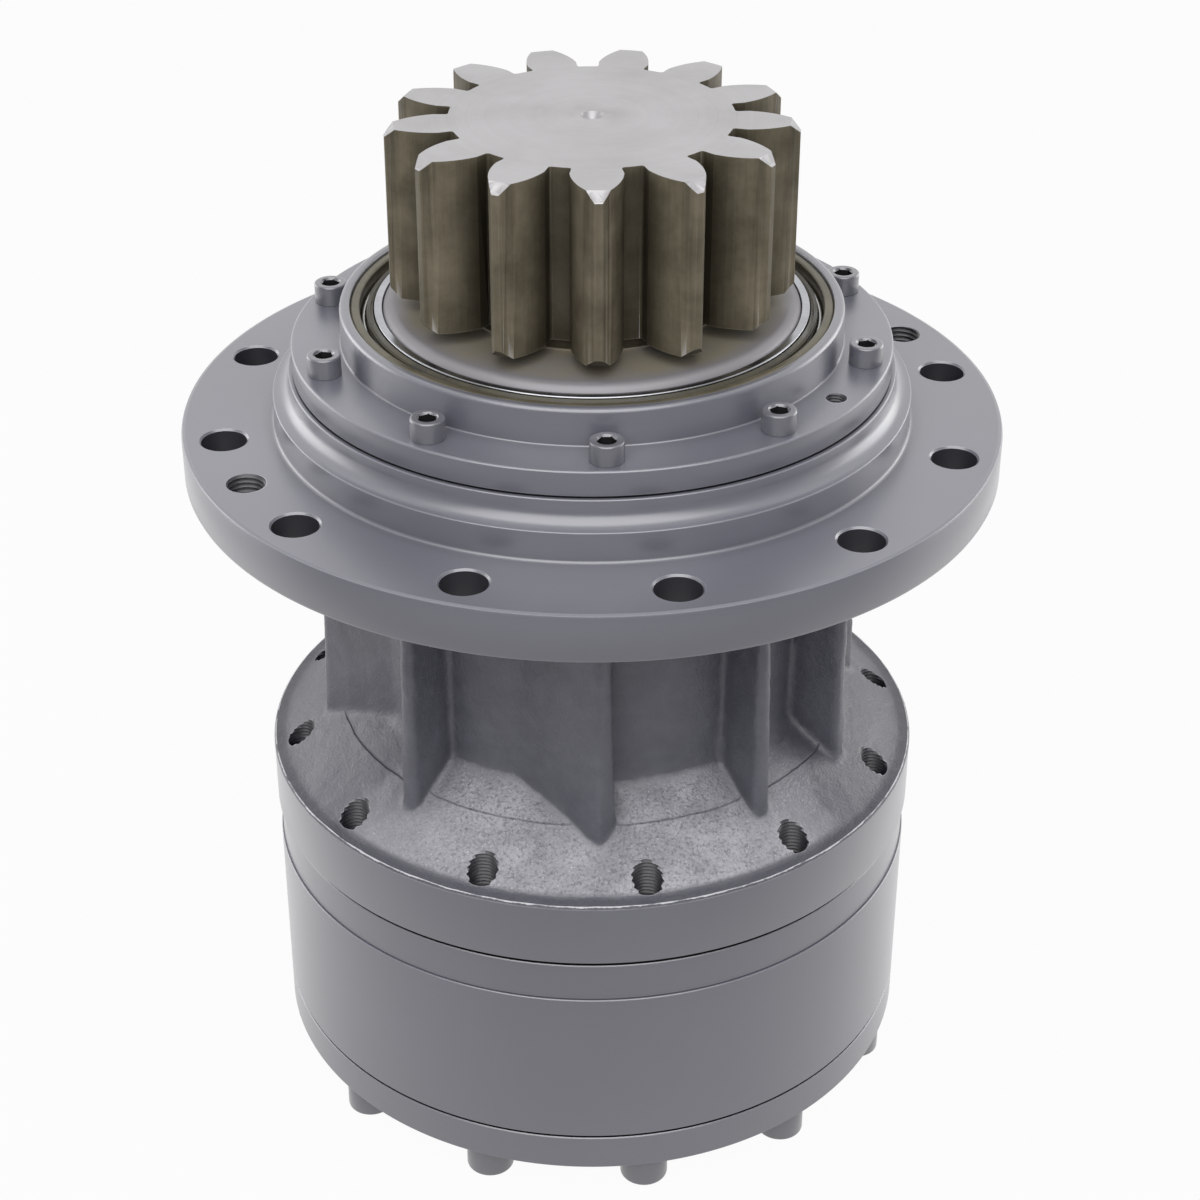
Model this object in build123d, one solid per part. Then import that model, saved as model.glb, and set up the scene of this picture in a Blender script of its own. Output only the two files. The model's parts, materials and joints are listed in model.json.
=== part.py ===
from build123d import *
import math
import os

# Excavator swing gearbox: two planetary stages in a flanged casting, with the output pinion on top
# and the hydraulic motor's mounting face underneath. Every piece turns about or sits round +Z.
# Millimetres. Z = 0 is the surface that the unit stands on: the bottom bolt heads rest there.

# Clearances
running_gap = 0.3
fit_gap = 0.1
roller_gap = 0.25
tooth_backlash = 0.25
cut_margin = 1.0

# Planetary gearing, the same module and tooth counts in both stages
gear_module = 4.0
ring_teeth = 66
sun_teeth = 18
pressure_angle = 20.0
stage1_planet_count = 3
stage2_planet_count = 4
stage1_face_width = 24.0
stage2_face_width = 32.0
planet_bore_radius = 26.0
planet_pin_radius = 18.0
planet_pocket_gap = 2.0
carrier_rim_gap = 10.0
stage1_lower_plate = 6.0
stage1_upper_plate = 8.0
stage2_lower_plate = 7.0
stage2_upper_plate = 17.0
planet_washer_thickness = 1.2
planet_washer_radius = 32.0
carrier_washer_thickness = 2.0
carrier_washer_width = 14.0
sun_socket_wall = 10.0
sun_neck_step = 1.0
snap_ring_thickness = 1.8
snap_ring_wall = 8.0
snap_ring_opening = 4.0
pin_lock_radius = 2.5
pin_lock_length = 24.0

# Drum: motor cover, ring gear and spacer ring, bolted up into the casting's rim
drum_wall = 29.0
drum_bolt_inset = 15.5
drum_bolt_count = 12
drum_bolt_start = 10.0
spacer_setback = 1.0
rim_overhang = 0.5
cover_plate_height = 21.5
ring_gear_height = 87.5
spacer_height = 23.0
seam_chamfer = 1.0
drum_seal_inset = 3.5
drum_seal_section = 3.4
dowel_radius = 5.0
dowel_bite = 12.0

# Drum bolts and motor face
drum_bolt_radius = 8.0
drum_bolt_hole_radius = 8.75
drum_bolt_thread_radius = 7.3
drum_thread_hole_radius = 7.35
drum_bolt_bite = 24.0
drum_head_radius = 12.0
drum_head_height = 16.0
drum_socket_size = 14.0
drum_socket_depth = 8.0
motor_pad_radius = 122.0
motor_pad_height = 6.0
motor_pilot_radius = 80.0
motor_pilot_depth = 10.0
motor_bolt_circle = 100.0
motor_bolt_hole_radius = 7.35
motor_bolt_count = 8
motor_bolt_depth = 22.0
input_bore_radius = 45.0
drain_angle = 85.0
drain_plug_radius = 6.6
drain_head_radius = 9.5
drain_head_height = 5.0
drain_socket_size = 6.6
drain_socket_depth = 2.5
drain_plug_length = 12.0
drain_passage_radius = 4.0
drain_spot_depth = 1.0
drain_run_out = 3.0
sump_wall = 2.0
drain_washer_thickness = 1.5

# Casting, from its rim up to the boss
rim_height = 33.5
rim_ledge = 6.0
dome_slope = 0.7
rim_edge_chamfer = 1.5
waist_height = 157.5
waist_wall = 18.0
upper_seat_land = 11.0
waist_fillet = 4.0
recess_inset = 5.0
recess_depth = 6.0
seat_mouth = 3.0
seat_rim = 10.0
flange_width = 45.0
flange_thickness = 24.0
flange_chamfer = 2.0
flange_hole_inset = 20.0
flange_hole_radius = 11.0
flange_hole_count = 12
flange_hole_start = 12.0
flange_hole_chamfer = 0.8
jack_hole_radius = 9.2
spigot_step = 8.0
spigot_height = 15.0
spigot_root_fillet = 2.0
boss_land = 2.0
boss_height = 12.0
boss_fillet = 6.0

# Stiffening ribs and the two flat wings on the waist
rib_height = 28.0
rib_thickness = 10.5
rib_corner = 2.5
rib_draft = 0.8
rib_bite = 1.0
wing_angle = 50.0
wing_setback = 7.0
wing_half_width = 93.0
wing_thickness = 14.0
paired_rib_angle = 140.0
paired_rib_spread = 13.5

# Output shaft, pinion and taper roller bearings
pinion_module = 12.0
pinion_teeth = 13
pinion_shift = 0.525
pinion_dedendum = 1.48
pinion_angle = 271.7
pinion_face_width = 83.6
pinion_end_chamfer = 4.5
pinion_tip_bevel = 0.9
pinion_relief_height = 6.4
pinion_relief_depth = 2.5
pinion_root_corner = 1.5
centre_hole_radius = 2.0
centre_hole_depth = 10.0
centre_sink_radius = 5.3
bearing_width = 38.0
bearing_cup_width = 30.0
bearing_section = 30.0
bearing_roller_radius = 7.5
bearing_roller_length = 27.0
bearing_roller_tilt = 12.0
bearing_roller_count = 18
bearing_cage_thickness = 2.4
bearing_shoulder = 6.0
bearing_shoulder_height = 10.0
bearing_rib = 3.0
bearing_step = 2.0
bearing_rib_height = 1.5
cage_inset = 1.5
upper_journal_radius = 75.0
lower_journal_radius = 55.0
upper_cone_setback = 4.0
lower_seat_height = 56.0
shaft_waist_step = 7.0
shaft_flare_step = 3.0
journal_run_out = 2.0
journal_neck = 4.0
journal_taper = 6.0
collar_height = 30.0
collar_fillet = 6.0
shoulder_height = 6.0
shoulder_step = 13.0
spline_count = 16
spline_relief = 5.0
spline_depth = 4.0
spline_foot_share = 0.6
spline_land_share = 0.4
input_spline_radius = 18.0
input_spline_depth = 2.0
input_spline_length = 38.0
hub_wall = 13.0
bearing_spacer_height = 6.0
end_plate_overlap = 6.0
end_plate_thickness = 8.0
end_bolt_count = 4
end_bolt_circle = 26.0
end_bolt_radius = 6.0
end_bolt_length = 26.0
end_head_radius = 9.0
end_head_height = 4.0
end_socket_size = 6.0
end_socket_depth = 2.0

# Seal cover and oil seal
seal_flange_height = 13.0
seal_rim_wall = 5.3
seal_rim_height = 18.0
seal_rim_chamfer = 2.0
seal_mouth_chamfer = 1.5
seal_section = 11.2
seal_bore_depth = 17.5
seal_shelf_gap = 4.5
cover_spigot_height = 5.0
cover_spigot_wall = 2.4
cover_web_height = 5.0
collar_gap = 2.0
cover_seal_offset = 11.5
cover_screw_count = 10
cover_screw_offset = 12.5
cover_screw_edge = 11.5
cover_screw_start = 20.8
puller_screw_steps = 3.5
cover_screw_radius = 5.0
cover_screw_hole_radius = 5.5
cover_thread_radius = 4.5
cover_thread_hole_radius = 4.55
cover_screw_bite = 18.0
cover_screw_run_out = 6.0
cover_head_radius = 8.0
cover_head_height = 10.0
cover_socket_size = 8.0
cover_socket_depth = 5.0
wear_sleeve_wall = 4.0
wear_sleeve_height = 22.0
wear_sleeve_setback = 3.0
seal_case_setback = 1.0
seal_case_height = 15.0
seal_case_wall = 4.6
seal_case_chamfer = 1.2
seal_web_height = 3.0
seal_lip_wall = 3.3
seal_lip_setback = 2.5
seal_lip_root = 1.0
seal_lip_edge = 6.0
seal_spring_section = 1.2

# Radii that follow from the gearing
planet_teeth = (ring_teeth - sun_teeth) // 2
ring_pitch = gear_module * ring_teeth / 2
planet_pitch = gear_module * planet_teeth / 2
sun_pitch = gear_module * sun_teeth / 2
planet_orbit = sun_pitch + planet_pitch
tooth_dedendum = 1.25 * gear_module
ring_tip = ring_pitch - gear_module
ring_root = ring_pitch + tooth_dedendum
sun_tip = sun_pitch + gear_module
carrier_radius = ring_tip - carrier_rim_gap
drum_radius = ring_root + drum_wall
drum_bolt_circle = ring_root + drum_bolt_inset
rim_radius = drum_radius + rim_overhang
sun_phase = 180 / sun_teeth if planet_teeth % 2 == 0 else 0
sun_socket_radius = sun_tip + sun_socket_wall
snap_groove_radius = sun_pitch
snap_ring_radius = snap_groove_radius + snap_ring_wall
dowel_angle = drum_bolt_start + 180 / drum_bolt_count

# Radii that follow from the bearings: shaft, seal, seal cover, boss, flange and waist
upper_cup_radius = upper_journal_radius + bearing_section
lower_cup_radius = lower_journal_radius + bearing_section
cover_spigot_radius = upper_cup_radius - fit_gap
collar_radius = cover_spigot_radius - cover_spigot_wall - collar_gap
sleeve_radius = collar_radius + wear_sleeve_wall
seal_bore_radius = sleeve_radius + seal_section
seal_lower_bore_radius = sleeve_radius + seal_shelf_gap
seal_rim_radius = seal_bore_radius + seal_rim_wall
cover_screw_circle = seal_rim_radius + cover_screw_offset
cover_seal_radius = cover_screw_circle - cover_seal_offset
seal_cover_radius = cover_screw_circle + cover_screw_edge
puller_angle = cover_screw_start + puller_screw_steps * 360 / cover_screw_count
boss_radius = seal_cover_radius + boss_land
spigot_radius = boss_radius + spigot_step
flange_radius = spigot_radius + flange_width
flange_hole_circle = flange_radius - flange_hole_inset
jack_hole_angle = flange_hole_start + 180 / flange_hole_count
waist_bore_radius = upper_cup_radius - upper_seat_land
waist_radius = waist_bore_radius + waist_wall
rib_reach = waist_radius + rib_height
wing_distance = waist_radius - wing_setback
shoulder_radius = upper_journal_radius + shoulder_step
shaft_waist_radius = lower_journal_radius + shaft_waist_step
shaft_flare_radius = upper_journal_radius - shaft_flare_step
spline_root_radius = lower_journal_radius - spline_relief - spline_depth
hub_radius = lower_journal_radius + hub_wall
end_plate_radius = spline_root_radius + spline_depth + end_plate_overlap

# Radii of the pinion
pinion_pitch = pinion_module * pinion_teeth / 2
pinion_tip = pinion_pitch + pinion_module * (1 + pinion_shift)
pinion_root = pinion_pitch - pinion_module * (pinion_dedendum - pinion_shift)
pinion_relief_radius = pinion_root - pinion_relief_depth

# Heights of the drum and the casting
cover_z = drum_head_height
motor_face_z = cover_z - motor_pad_height
ring_z = cover_z + cover_plate_height
spacer_z = ring_z + ring_gear_height
rim_z = spacer_z + spacer_height
ledge_z = rim_z + rim_height
dome_foot_radius = rim_radius - rim_ledge
dome_top_z = ledge_z + (dome_foot_radius - waist_radius) * dome_slope
flange_z = ledge_z + waist_height
flange_top_z = flange_z + flange_thickness
spigot_top_z = flange_top_z + spigot_height
boss_top_z = spigot_top_z + boss_height
drain_z = (cover_z + ring_z) / 2
drain_seat_radius = drum_radius - drain_spot_depth

# Heights of the seal, the shaft and its bearings
seal_flange_z = boss_top_z + seal_flange_height
seal_top_z = seal_flange_z + seal_rim_height
upper_cone_z = boss_top_z - upper_cone_setback
upper_seat_z = upper_cone_z - bearing_width
collar_z = upper_cone_z + shoulder_height
collar_top_z = collar_z + collar_height
pinion_z = collar_top_z + pinion_relief_height
pinion_top_z = pinion_z + pinion_face_width
lower_seat_z = rim_z + lower_seat_height
lower_cone_z = lower_seat_z - bearing_width
hub_top_z = lower_cone_z - bearing_spacer_height

# Heights of the two planet stages
washer_gap = planet_washer_thickness + running_gap
stage1_z = ring_z + carrier_washer_thickness + running_gap
stage1_pocket_z = stage1_z + stage1_lower_plate
stage1_pocket_top = stage1_pocket_z + stage1_face_width + 2 * washer_gap
stage1_top_z = stage1_pocket_top + stage1_upper_plate
stage2_z = stage1_top_z + carrier_washer_thickness + running_gap
stage2_pocket_z = stage2_z + stage2_lower_plate
stage2_pocket_top = stage2_pocket_z + stage2_face_width + 2 * washer_gap
stage2_top_z = stage2_pocket_top + stage2_upper_plate
end_plate_z = stage2_pocket_top + end_head_height
stage1_lock_z = stage1_top_z - stage1_upper_plate / 2
stage2_lock_z = stage2_top_z - stage2_upper_plate / 2
sun_socket_top_z = stage2_pocket_z - planet_pocket_gap
sun_top_z = stage2_pocket_top - running_gap
input_washer_z = stage1_pocket_top - 2 * running_gap - planet_washer_thickness


def polar(radius, angle):
    """Point (x, y) at a radius and an angle in degrees."""
    turn = math.radians(angle)
    return (radius * math.cos(turn), radius * math.sin(turn))


def ring_of_points(radius, count, start=0.0):
    """Evenly spaced points round the main axis."""
    return [polar(radius, start + i * 360 / count) for i in range(count)]


def rod(radius, low, high, centre=(0, 0)):
    """Upright cylinder between two heights."""
    shape = Cylinder(radius, high - low, align=(Align.CENTER, Align.CENTER, Align.MIN))
    return Pos(*centre, low) * shape


def rods(radius, low, high, centres):
    """One upright cylinder at each centre."""
    return [rod(radius, low, high, centre) for centre in centres]


def turned(outline):
    """Solid of revolution about the main axis, from its (radius, height) outline."""
    corners = [(radius, 0, height) for radius, height in outline]
    return revolve(make_face(Polyline(*corners, close=True)), Axis.Z)


def tube(outer, inner, low, high):
    """Ring of rectangular section."""
    return turned([(inner, low), (outer, low), (outer, high), (inner, high)])


def rings_at(shape, radius, height):
    """Circular edges of a shape at one radius and height."""
    def matches(edge):
        return abs(edge.radius - radius) < 0.01 and abs(edge.center().Z - height) < 0.01
    return shape.edges().filter_by(GeomType.CIRCLE).filter_by(matches)


def seal_ring(radius, height, section):
    """Rubber ring of round section, lying flat."""
    return Pos(0, 0, height) * Torus(radius, section / 2)


def involute_turn(radius, base):
    """Angle in degrees that an involute has turned through at a radius."""
    if radius <= base:
        return 0.0
    roll = math.sqrt((radius / base) ** 2 - 1)
    return math.degrees(roll - math.atan(roll))


def arc(first, middle, last):
    """Circular edge through three points of a plan."""
    return ThreePointArc(first, middle, last)


def toothed_face(teeth, pitch, tip, root, half_angle, phase=0.0, bevel=0.0, corner=0.0):
    """Plan of an involute gear.

    half_angle is half a tooth's angle at the pitch circle and phase the direction of one tooth, both
    in degrees. bevel cuts the corners of the tips and corner rounds the feet of the spaces.
    """
    base = pitch * math.cos(math.radians(pressure_angle))
    start = max(base, root)
    crest = tip - bevel

    def half(radius):
        return half_angle + involute_turn(pitch, base) - involute_turn(radius, base)

    land = half(crest) - math.degrees(bevel / tip)
    space = 360 / teeth - 2 * half(start)
    foot = root + corner
    turn = math.degrees(corner / root)
    sagitta = 1 - math.sqrt(0.5)
    flank = (start, (start + crest) / 2, crest)
    edges = []
    for i in range(teeth):
        centre = phase + i * 360 / teeth
        rise = [polar(radius, centre - half(radius)) for radius in flank]
        fall = [polar(radius, centre + half(radius)) for radius in reversed(flank)]
        leave = centre + half(start)
        if foot < start:
            edges.append(Line(polar(foot, centre - half(start)), rise[0]))
        edges.append(arc(*rise))
        if bevel:
            edges.append(Line(rise[2], polar(tip, centre - land)))
        edges.append(arc(polar(tip, centre - land), polar(tip, centre), polar(tip, centre + land)))
        if bevel:
            edges.append(Line(polar(tip, centre + land), fall[0]))
        edges.append(arc(*fall))
        if foot < start:
            edges.append(Line(fall[2], polar(foot, leave)))
        arrive = leave + space
        near = root + sagitta * corner
        if corner:
            edges.append(arc(polar(foot, leave), polar(near, leave + sagitta * turn),
                             polar(root, leave + turn)))
        edges.append(arc(polar(root, leave + turn), polar(root, leave + space / 2),
                         polar(root, arrive - turn)))
        if corner:
            edges.append(arc(polar(root, arrive - turn), polar(near, arrive - sagitta * turn),
                             polar(foot, arrive)))
    return Face(Wire(edges))


def tooth_half_angle(teeth, pitch, widen=0.0):
    """Half a tooth's angle at the pitch circle; widen is added to each flank in millimetres."""
    return 90 / teeth + math.degrees(widen / pitch)


def lifted(face, low, high):
    """Plan face drawn up between two heights."""
    return Pos(0, 0, low) * extrude(face, high - low, dir=(0, 0, 1))


def spline_face(root, depth):
    """Plan of a spline with straight flanks and round lands."""
    tip = root + depth
    step = 360 / spline_count
    foot_half = step * spline_foot_share / 2
    land_half = step * spline_land_share / 2
    edges = []
    for i in range(spline_count):
        centre = i * step
        gap = centre + step / 2
        edges.append(Line(polar(root, centre - foot_half), polar(tip, centre - land_half)))
        edges.append(arc(polar(tip, centre - land_half), polar(tip, centre), polar(tip, centre + land_half)))
        edges.append(Line(polar(tip, centre + land_half), polar(root, centre + foot_half)))
        edges.append(arc(polar(root, centre + foot_half), polar(root, gap),
                         polar(root, centre + step - foot_half)))
    return Face(Wire(edges))


def socket_screw(head, head_height, shank, thread, socket, socket_depth, clear_length, bite):
    """Socket head screw along +Z with the underside of its head at z = 0 and its head below."""
    shape = rod(head, -head_height, 0) + rod(shank, 0, clear_length)
    shape += rod(thread, clear_length, clear_length + bite)
    hexagon = RegularPolygon(socket / 2, 6, major_radius=False)
    return shape - Pos(0, 0, -head_height) * extrude(hexagon, socket_depth)


def drafted_bar(length, thickness, centre, angle, low, high):
    """Upright bar with rounded corners that thins towards its top by the casting's draft."""
    shrink = (high - low) * math.tan(math.radians(rib_draft))
    place = Rot(0, 0, angle) * Pos(*centre, 0)
    foot = Pos(0, 0, low) * place * RectangleRounded(length, thickness, rib_corner)
    slim_corner = rib_corner - shrink / 2
    slim = RectangleRounded(length - 2 * shrink, thickness - 2 * shrink, slim_corner)
    head = Pos(0, 0, high) * place * slim
    return loft([foot.face(), head.face()])


def waist_ribs():
    """Radial ribs and flat wings between the dome and the flange."""
    low = ledge_z
    high = flange_z + rib_bite
    start = waist_bore_radius + waist_wall / 2
    length = rib_reach - start
    angles = [wing_angle, wing_angle + 180]
    for side in (paired_rib_angle, paired_rib_angle + 180):
        angles += [side - paired_rib_spread, side + paired_rib_spread]
    bars = [drafted_bar(length, rib_thickness, (start + length / 2, 0), a, low, high) for a in angles]
    offset = wing_distance - wing_thickness / 2
    for angle in (wing_angle, wing_angle + 180):
        bars.append(drafted_bar(wing_thickness, 2 * wing_half_width, (offset, 0), angle, low, high))
    return bars


def casting_body():
    """Outside of the casting: rim, dome, waist, flange, spigot and boss."""
    body = turned([
        (0, rim_z), (rim_radius, rim_z), (rim_radius, ledge_z), (dome_foot_radius, ledge_z),
        (waist_radius, dome_top_z), (waist_radius, flange_z), (flange_radius, flange_z),
        (flange_radius, flange_top_z), (spigot_radius, flange_top_z), (spigot_radius, spigot_top_z),
        (boss_radius, spigot_top_z), (boss_radius, boss_top_z), (0, boss_top_z),
    ])
    body = fillet(rings_at(body, waist_radius, flange_z) + rings_at(body, waist_radius, dome_top_z),
                  waist_fillet)
    body = fillet(rings_at(body, boss_radius, spigot_top_z), boss_fillet)
    body = fillet(rings_at(body, spigot_radius, flange_top_z), spigot_root_fillet)
    edges = rings_at(body, flange_radius, flange_top_z) + rings_at(body, flange_radius, flange_z)
    body = chamfer(edges, flange_chamfer)
    return chamfer(rings_at(body, rim_radius, ledge_z), rim_edge_chamfer)


def casting_bore():
    """Space inside the casting: bearing seats, shaft passage and the recess over the gears."""
    recess = ring_root - recess_inset
    seat_foot_z = lower_cone_z - seat_mouth
    step_z = lower_seat_z + bearing_shoulder_height
    shoulder = lower_cup_radius - bearing_shoulder
    return turned([
        (0, rim_z - cut_margin), (recess, rim_z - cut_margin), (recess, rim_z + recess_depth),
        (lower_cup_radius + seat_rim, seat_foot_z), (lower_cup_radius, seat_foot_z),
        (lower_cup_radius, lower_seat_z), (shoulder, lower_seat_z),
        (shoulder, step_z), (waist_bore_radius, step_z + waist_bore_radius - shoulder),
        (waist_bore_radius, upper_seat_z), (upper_cup_radius, upper_seat_z),
        (upper_cup_radius, boss_top_z + cut_margin), (0, boss_top_z + cut_margin),
    ])


def main_housing():
    """The casting with its ribs, bores and holes."""
    body = casting_body()
    for bar in waist_ribs():
        body += bar
    body -= casting_bore()
    drum_holes = ring_of_points(drum_bolt_circle, drum_bolt_count, drum_bolt_start)
    body -= rods(drum_thread_hole_radius, rim_z - cut_margin, flange_z - cut_margin, drum_holes)
    flange_holes = ring_of_points(flange_hole_circle, flange_hole_count, flange_hole_start)
    low = flange_z - cut_margin
    high = flange_top_z + cut_margin
    body -= rods(flange_hole_radius, low, high, flange_holes)
    sink = Cone(flange_hole_radius, flange_hole_radius + flange_hole_chamfer + cut_margin,
                flange_hole_chamfer + cut_margin, align=(Align.CENTER, Align.CENTER, Align.MIN))
    body -= [Pos(*point, flange_top_z - flange_hole_chamfer) * sink for point in flange_holes]
    jack_holes = ring_of_points(flange_hole_circle, 2, jack_hole_angle)
    body -= rods(jack_hole_radius, low, high, jack_holes)
    screw_holes = ring_of_points(cover_screw_circle, cover_screw_count, cover_screw_start)
    screw_floor = boss_top_z - cover_screw_bite - cover_screw_run_out
    body -= rods(cover_thread_hole_radius, screw_floor, boss_top_z + cut_margin, screw_holes)
    dowels = ring_of_points(drum_bolt_circle, 2, dowel_angle)
    return body - rods(dowel_radius, rim_z - cut_margin, rim_z + dowel_bite + cut_margin, dowels)


def drum_ring_holes(low, high):
    """Bolt and dowel holes through a piece of the drum."""
    bolts = ring_of_points(drum_bolt_circle, drum_bolt_count, drum_bolt_start)
    dowels = ring_of_points(drum_bolt_circle, 2, dowel_angle)
    low -= cut_margin
    high += cut_margin
    return rods(drum_bolt_hole_radius, low, high, bolts) + rods(dowel_radius, low, high, dowels)


def seal_groove(top_z):
    """Groove for a drum seal, open at a joint face."""
    middle = ring_root + drum_seal_inset
    half = drum_seal_section / 2 + fit_gap
    return tube(middle + half, middle - half, top_z - drum_seal_section - fit_gap, top_z + cut_margin)


def spacer_ring():
    """Plain ring between the ring gear and the casting."""
    body = tube(drum_radius - spacer_setback, ring_root, spacer_z, rim_z)
    body = chamfer(rings_at(body, drum_radius - spacer_setback, rim_z), seam_chamfer)
    body -= drum_ring_holes(spacer_z, rim_z)
    return body - seal_groove(rim_z)


def ring_gear():
    """Internal gear that both stages run in, one piece with the drum's wall."""
    half = tooth_half_angle(ring_teeth, ring_pitch, tooth_backlash / 2)
    spaces = toothed_face(ring_teeth, ring_pitch, ring_root, ring_tip, half)
    body = rod(drum_radius, ring_z, spacer_z) - lifted(spaces, ring_z - cut_margin, spacer_z + cut_margin)
    body -= drum_ring_holes(ring_z, spacer_z)
    return body - seal_groove(spacer_z)


def external_gear(teeth, phase, low, high, tip_trim=0.0):
    """Planet or sun blank between two heights."""
    pitch = gear_module * teeth / 2
    half = tooth_half_angle(teeth, pitch, -tooth_backlash / 2)
    plan = toothed_face(teeth, pitch, pitch + gear_module - tip_trim, pitch - tooth_dedendum, half, phase)
    return lifted(plan, low, high)


def planet_gear(index, count, low, high):
    """Planet at its place on the carrier, turned so that it meshes with the fixed ring."""
    angle = index * 360 / count
    phase = angle * (1 - ring_teeth / planet_teeth)
    bore = rod(planet_bore_radius, low - cut_margin, high + cut_margin)
    gear = external_gear(planet_teeth, phase, low, high) - bore
    return Pos(*polar(planet_orbit, angle), 0) * gear


def planet_bush(index, count, low, high):
    """Bearing bush pressed in a planet."""
    inner = planet_pin_radius + fit_gap
    return Pos(*polar(planet_orbit, index * 360 / count), 0) * tube(planet_bore_radius, inner, low, high)


def planet_pins(count, low, high, lock_z):
    """Pins that carry the planets, each cross-drilled for its lock."""
    pins = []
    for i in range(count):
        angle = i * 360 / count
        pin = rod(planet_pin_radius, low, high, polar(planet_orbit, angle))
        pins.append(pin - pin_lock(angle, lock_z))
    return pins


def pin_lock(angle, height):
    """Spring pin driven in radially from the carrier's rim."""
    lock = Pos(carrier_radius - pin_lock_length / 2, 0, height) * Rot(0, 90, 0)
    return Rot(0, 0, angle) * lock * Cylinder(pin_lock_radius, pin_lock_length)


def planet_washers(count, low, high):
    """Thrust washers at both ends of each planet."""
    washers = []
    for x, y in ring_of_points(planet_orbit, count):
        for z in (low, high - planet_washer_thickness):
            washer = tube(planet_washer_radius, planet_pin_radius, z, z + planet_washer_thickness)
            washers.append(Pos(x, y, 0) * washer)
    return washers


def planet_cage(count, low, pocket_low, pocket_high, high, lock_z):
    """Two plates joined by pillars between the planets, bored for the pins and their locks."""
    body = rod(carrier_radius, low, high)
    centres = ring_of_points(planet_orbit, count)
    pocket_radius = planet_pitch + gear_module + planet_pocket_gap
    body -= rods(pocket_radius, pocket_low, pocket_high, centres)
    body -= rods(planet_pin_radius, low - cut_margin, high + cut_margin, centres)
    body -= rod(sun_tip + planet_pocket_gap, low - cut_margin, pocket_high)
    return body - [pin_lock(i * 360 / count, lock_z) for i in range(count)]


def stage1_carrier():
    """First carrier, with the socket that drives the second sun by its own teeth."""
    body = planet_cage(stage1_planet_count, stage1_z, stage1_pocket_z, stage1_pocket_top,
                       stage1_top_z, stage1_lock_z)
    body += rod(sun_socket_radius, stage1_top_z, sun_socket_top_z)
    half = tooth_half_angle(sun_teeth, sun_pitch, fit_gap)
    socket = toothed_face(sun_teeth, sun_pitch, sun_tip + fit_gap, sun_pitch - tooth_dedendum + fit_gap,
                          half, sun_phase)
    return body - lifted(socket, stage1_pocket_top - cut_margin, sun_socket_top_z + cut_margin)


def stage2_carrier():
    """Second carrier, with the splined hub that turns the pinion shaft."""
    body = planet_cage(stage2_planet_count, stage2_z, stage2_pocket_z, stage2_pocket_top,
                       stage2_top_z, stage2_lock_z)
    body -= rod(sun_socket_radius + planet_pocket_gap, stage2_z - cut_margin, stage2_pocket_z + cut_margin)
    body += rod(hub_radius, stage2_top_z, hub_top_z)
    plate_top_z = end_plate_z + end_plate_thickness
    body -= rod(end_plate_radius + fit_gap, stage2_pocket_top - cut_margin, plate_top_z)
    socket = spline_face(spline_root_radius + fit_gap, spline_depth)
    return body - lifted(socket, end_plate_z, hub_top_z + cut_margin)


def snap_ring():
    """Split ring that holds the second sun down in the first carrier's socket."""
    low = sun_socket_top_z
    ring = tube(snap_ring_radius, snap_groove_radius, low, low + snap_ring_thickness)
    slit = Box(2 * snap_ring_wall, snap_ring_opening, 4 * snap_ring_thickness)
    return ring - Pos((snap_groove_radius + snap_ring_radius) / 2, 0, low) * slit


def stage2_sun_gear():
    """Second sun, whose lower end is its own spline in the first carrier."""
    low = stage1_pocket_top
    body = external_gear(sun_teeth, sun_phase, low, sun_top_z)
    groove = tube(sun_tip + cut_margin, snap_groove_radius, sun_socket_top_z,
                  sun_socket_top_z + snap_ring_thickness + fit_gap)
    return body - groove


def stage1_sun_gear():
    """Input sun with the internal spline for the motor's shaft."""
    body = external_gear(sun_teeth, sun_phase, stage1_pocket_z, input_washer_z)
    low = motor_face_z + motor_pilot_depth
    body += rod(sun_pitch - tooth_dedendum - sun_neck_step, low, stage1_pocket_z)
    socket = spline_face(input_spline_radius, input_spline_depth)
    return body - lifted(socket, low - cut_margin, low + input_spline_length)


def input_thrust_washer():
    """Disc between the ends of the two suns."""
    return rod(sun_pitch - tooth_dedendum, input_washer_z, input_washer_z + planet_washer_thickness)


def carrier_thrust_washers():
    """Washers under each carrier, on the motor cover and on the first carrier."""
    inner = sun_socket_radius + planet_pocket_gap + carrier_washer_width
    outer = inner + carrier_washer_width
    return [tube(outer, inner, z, z + carrier_washer_thickness) for z in (ring_z, stage1_top_z)]


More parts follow.
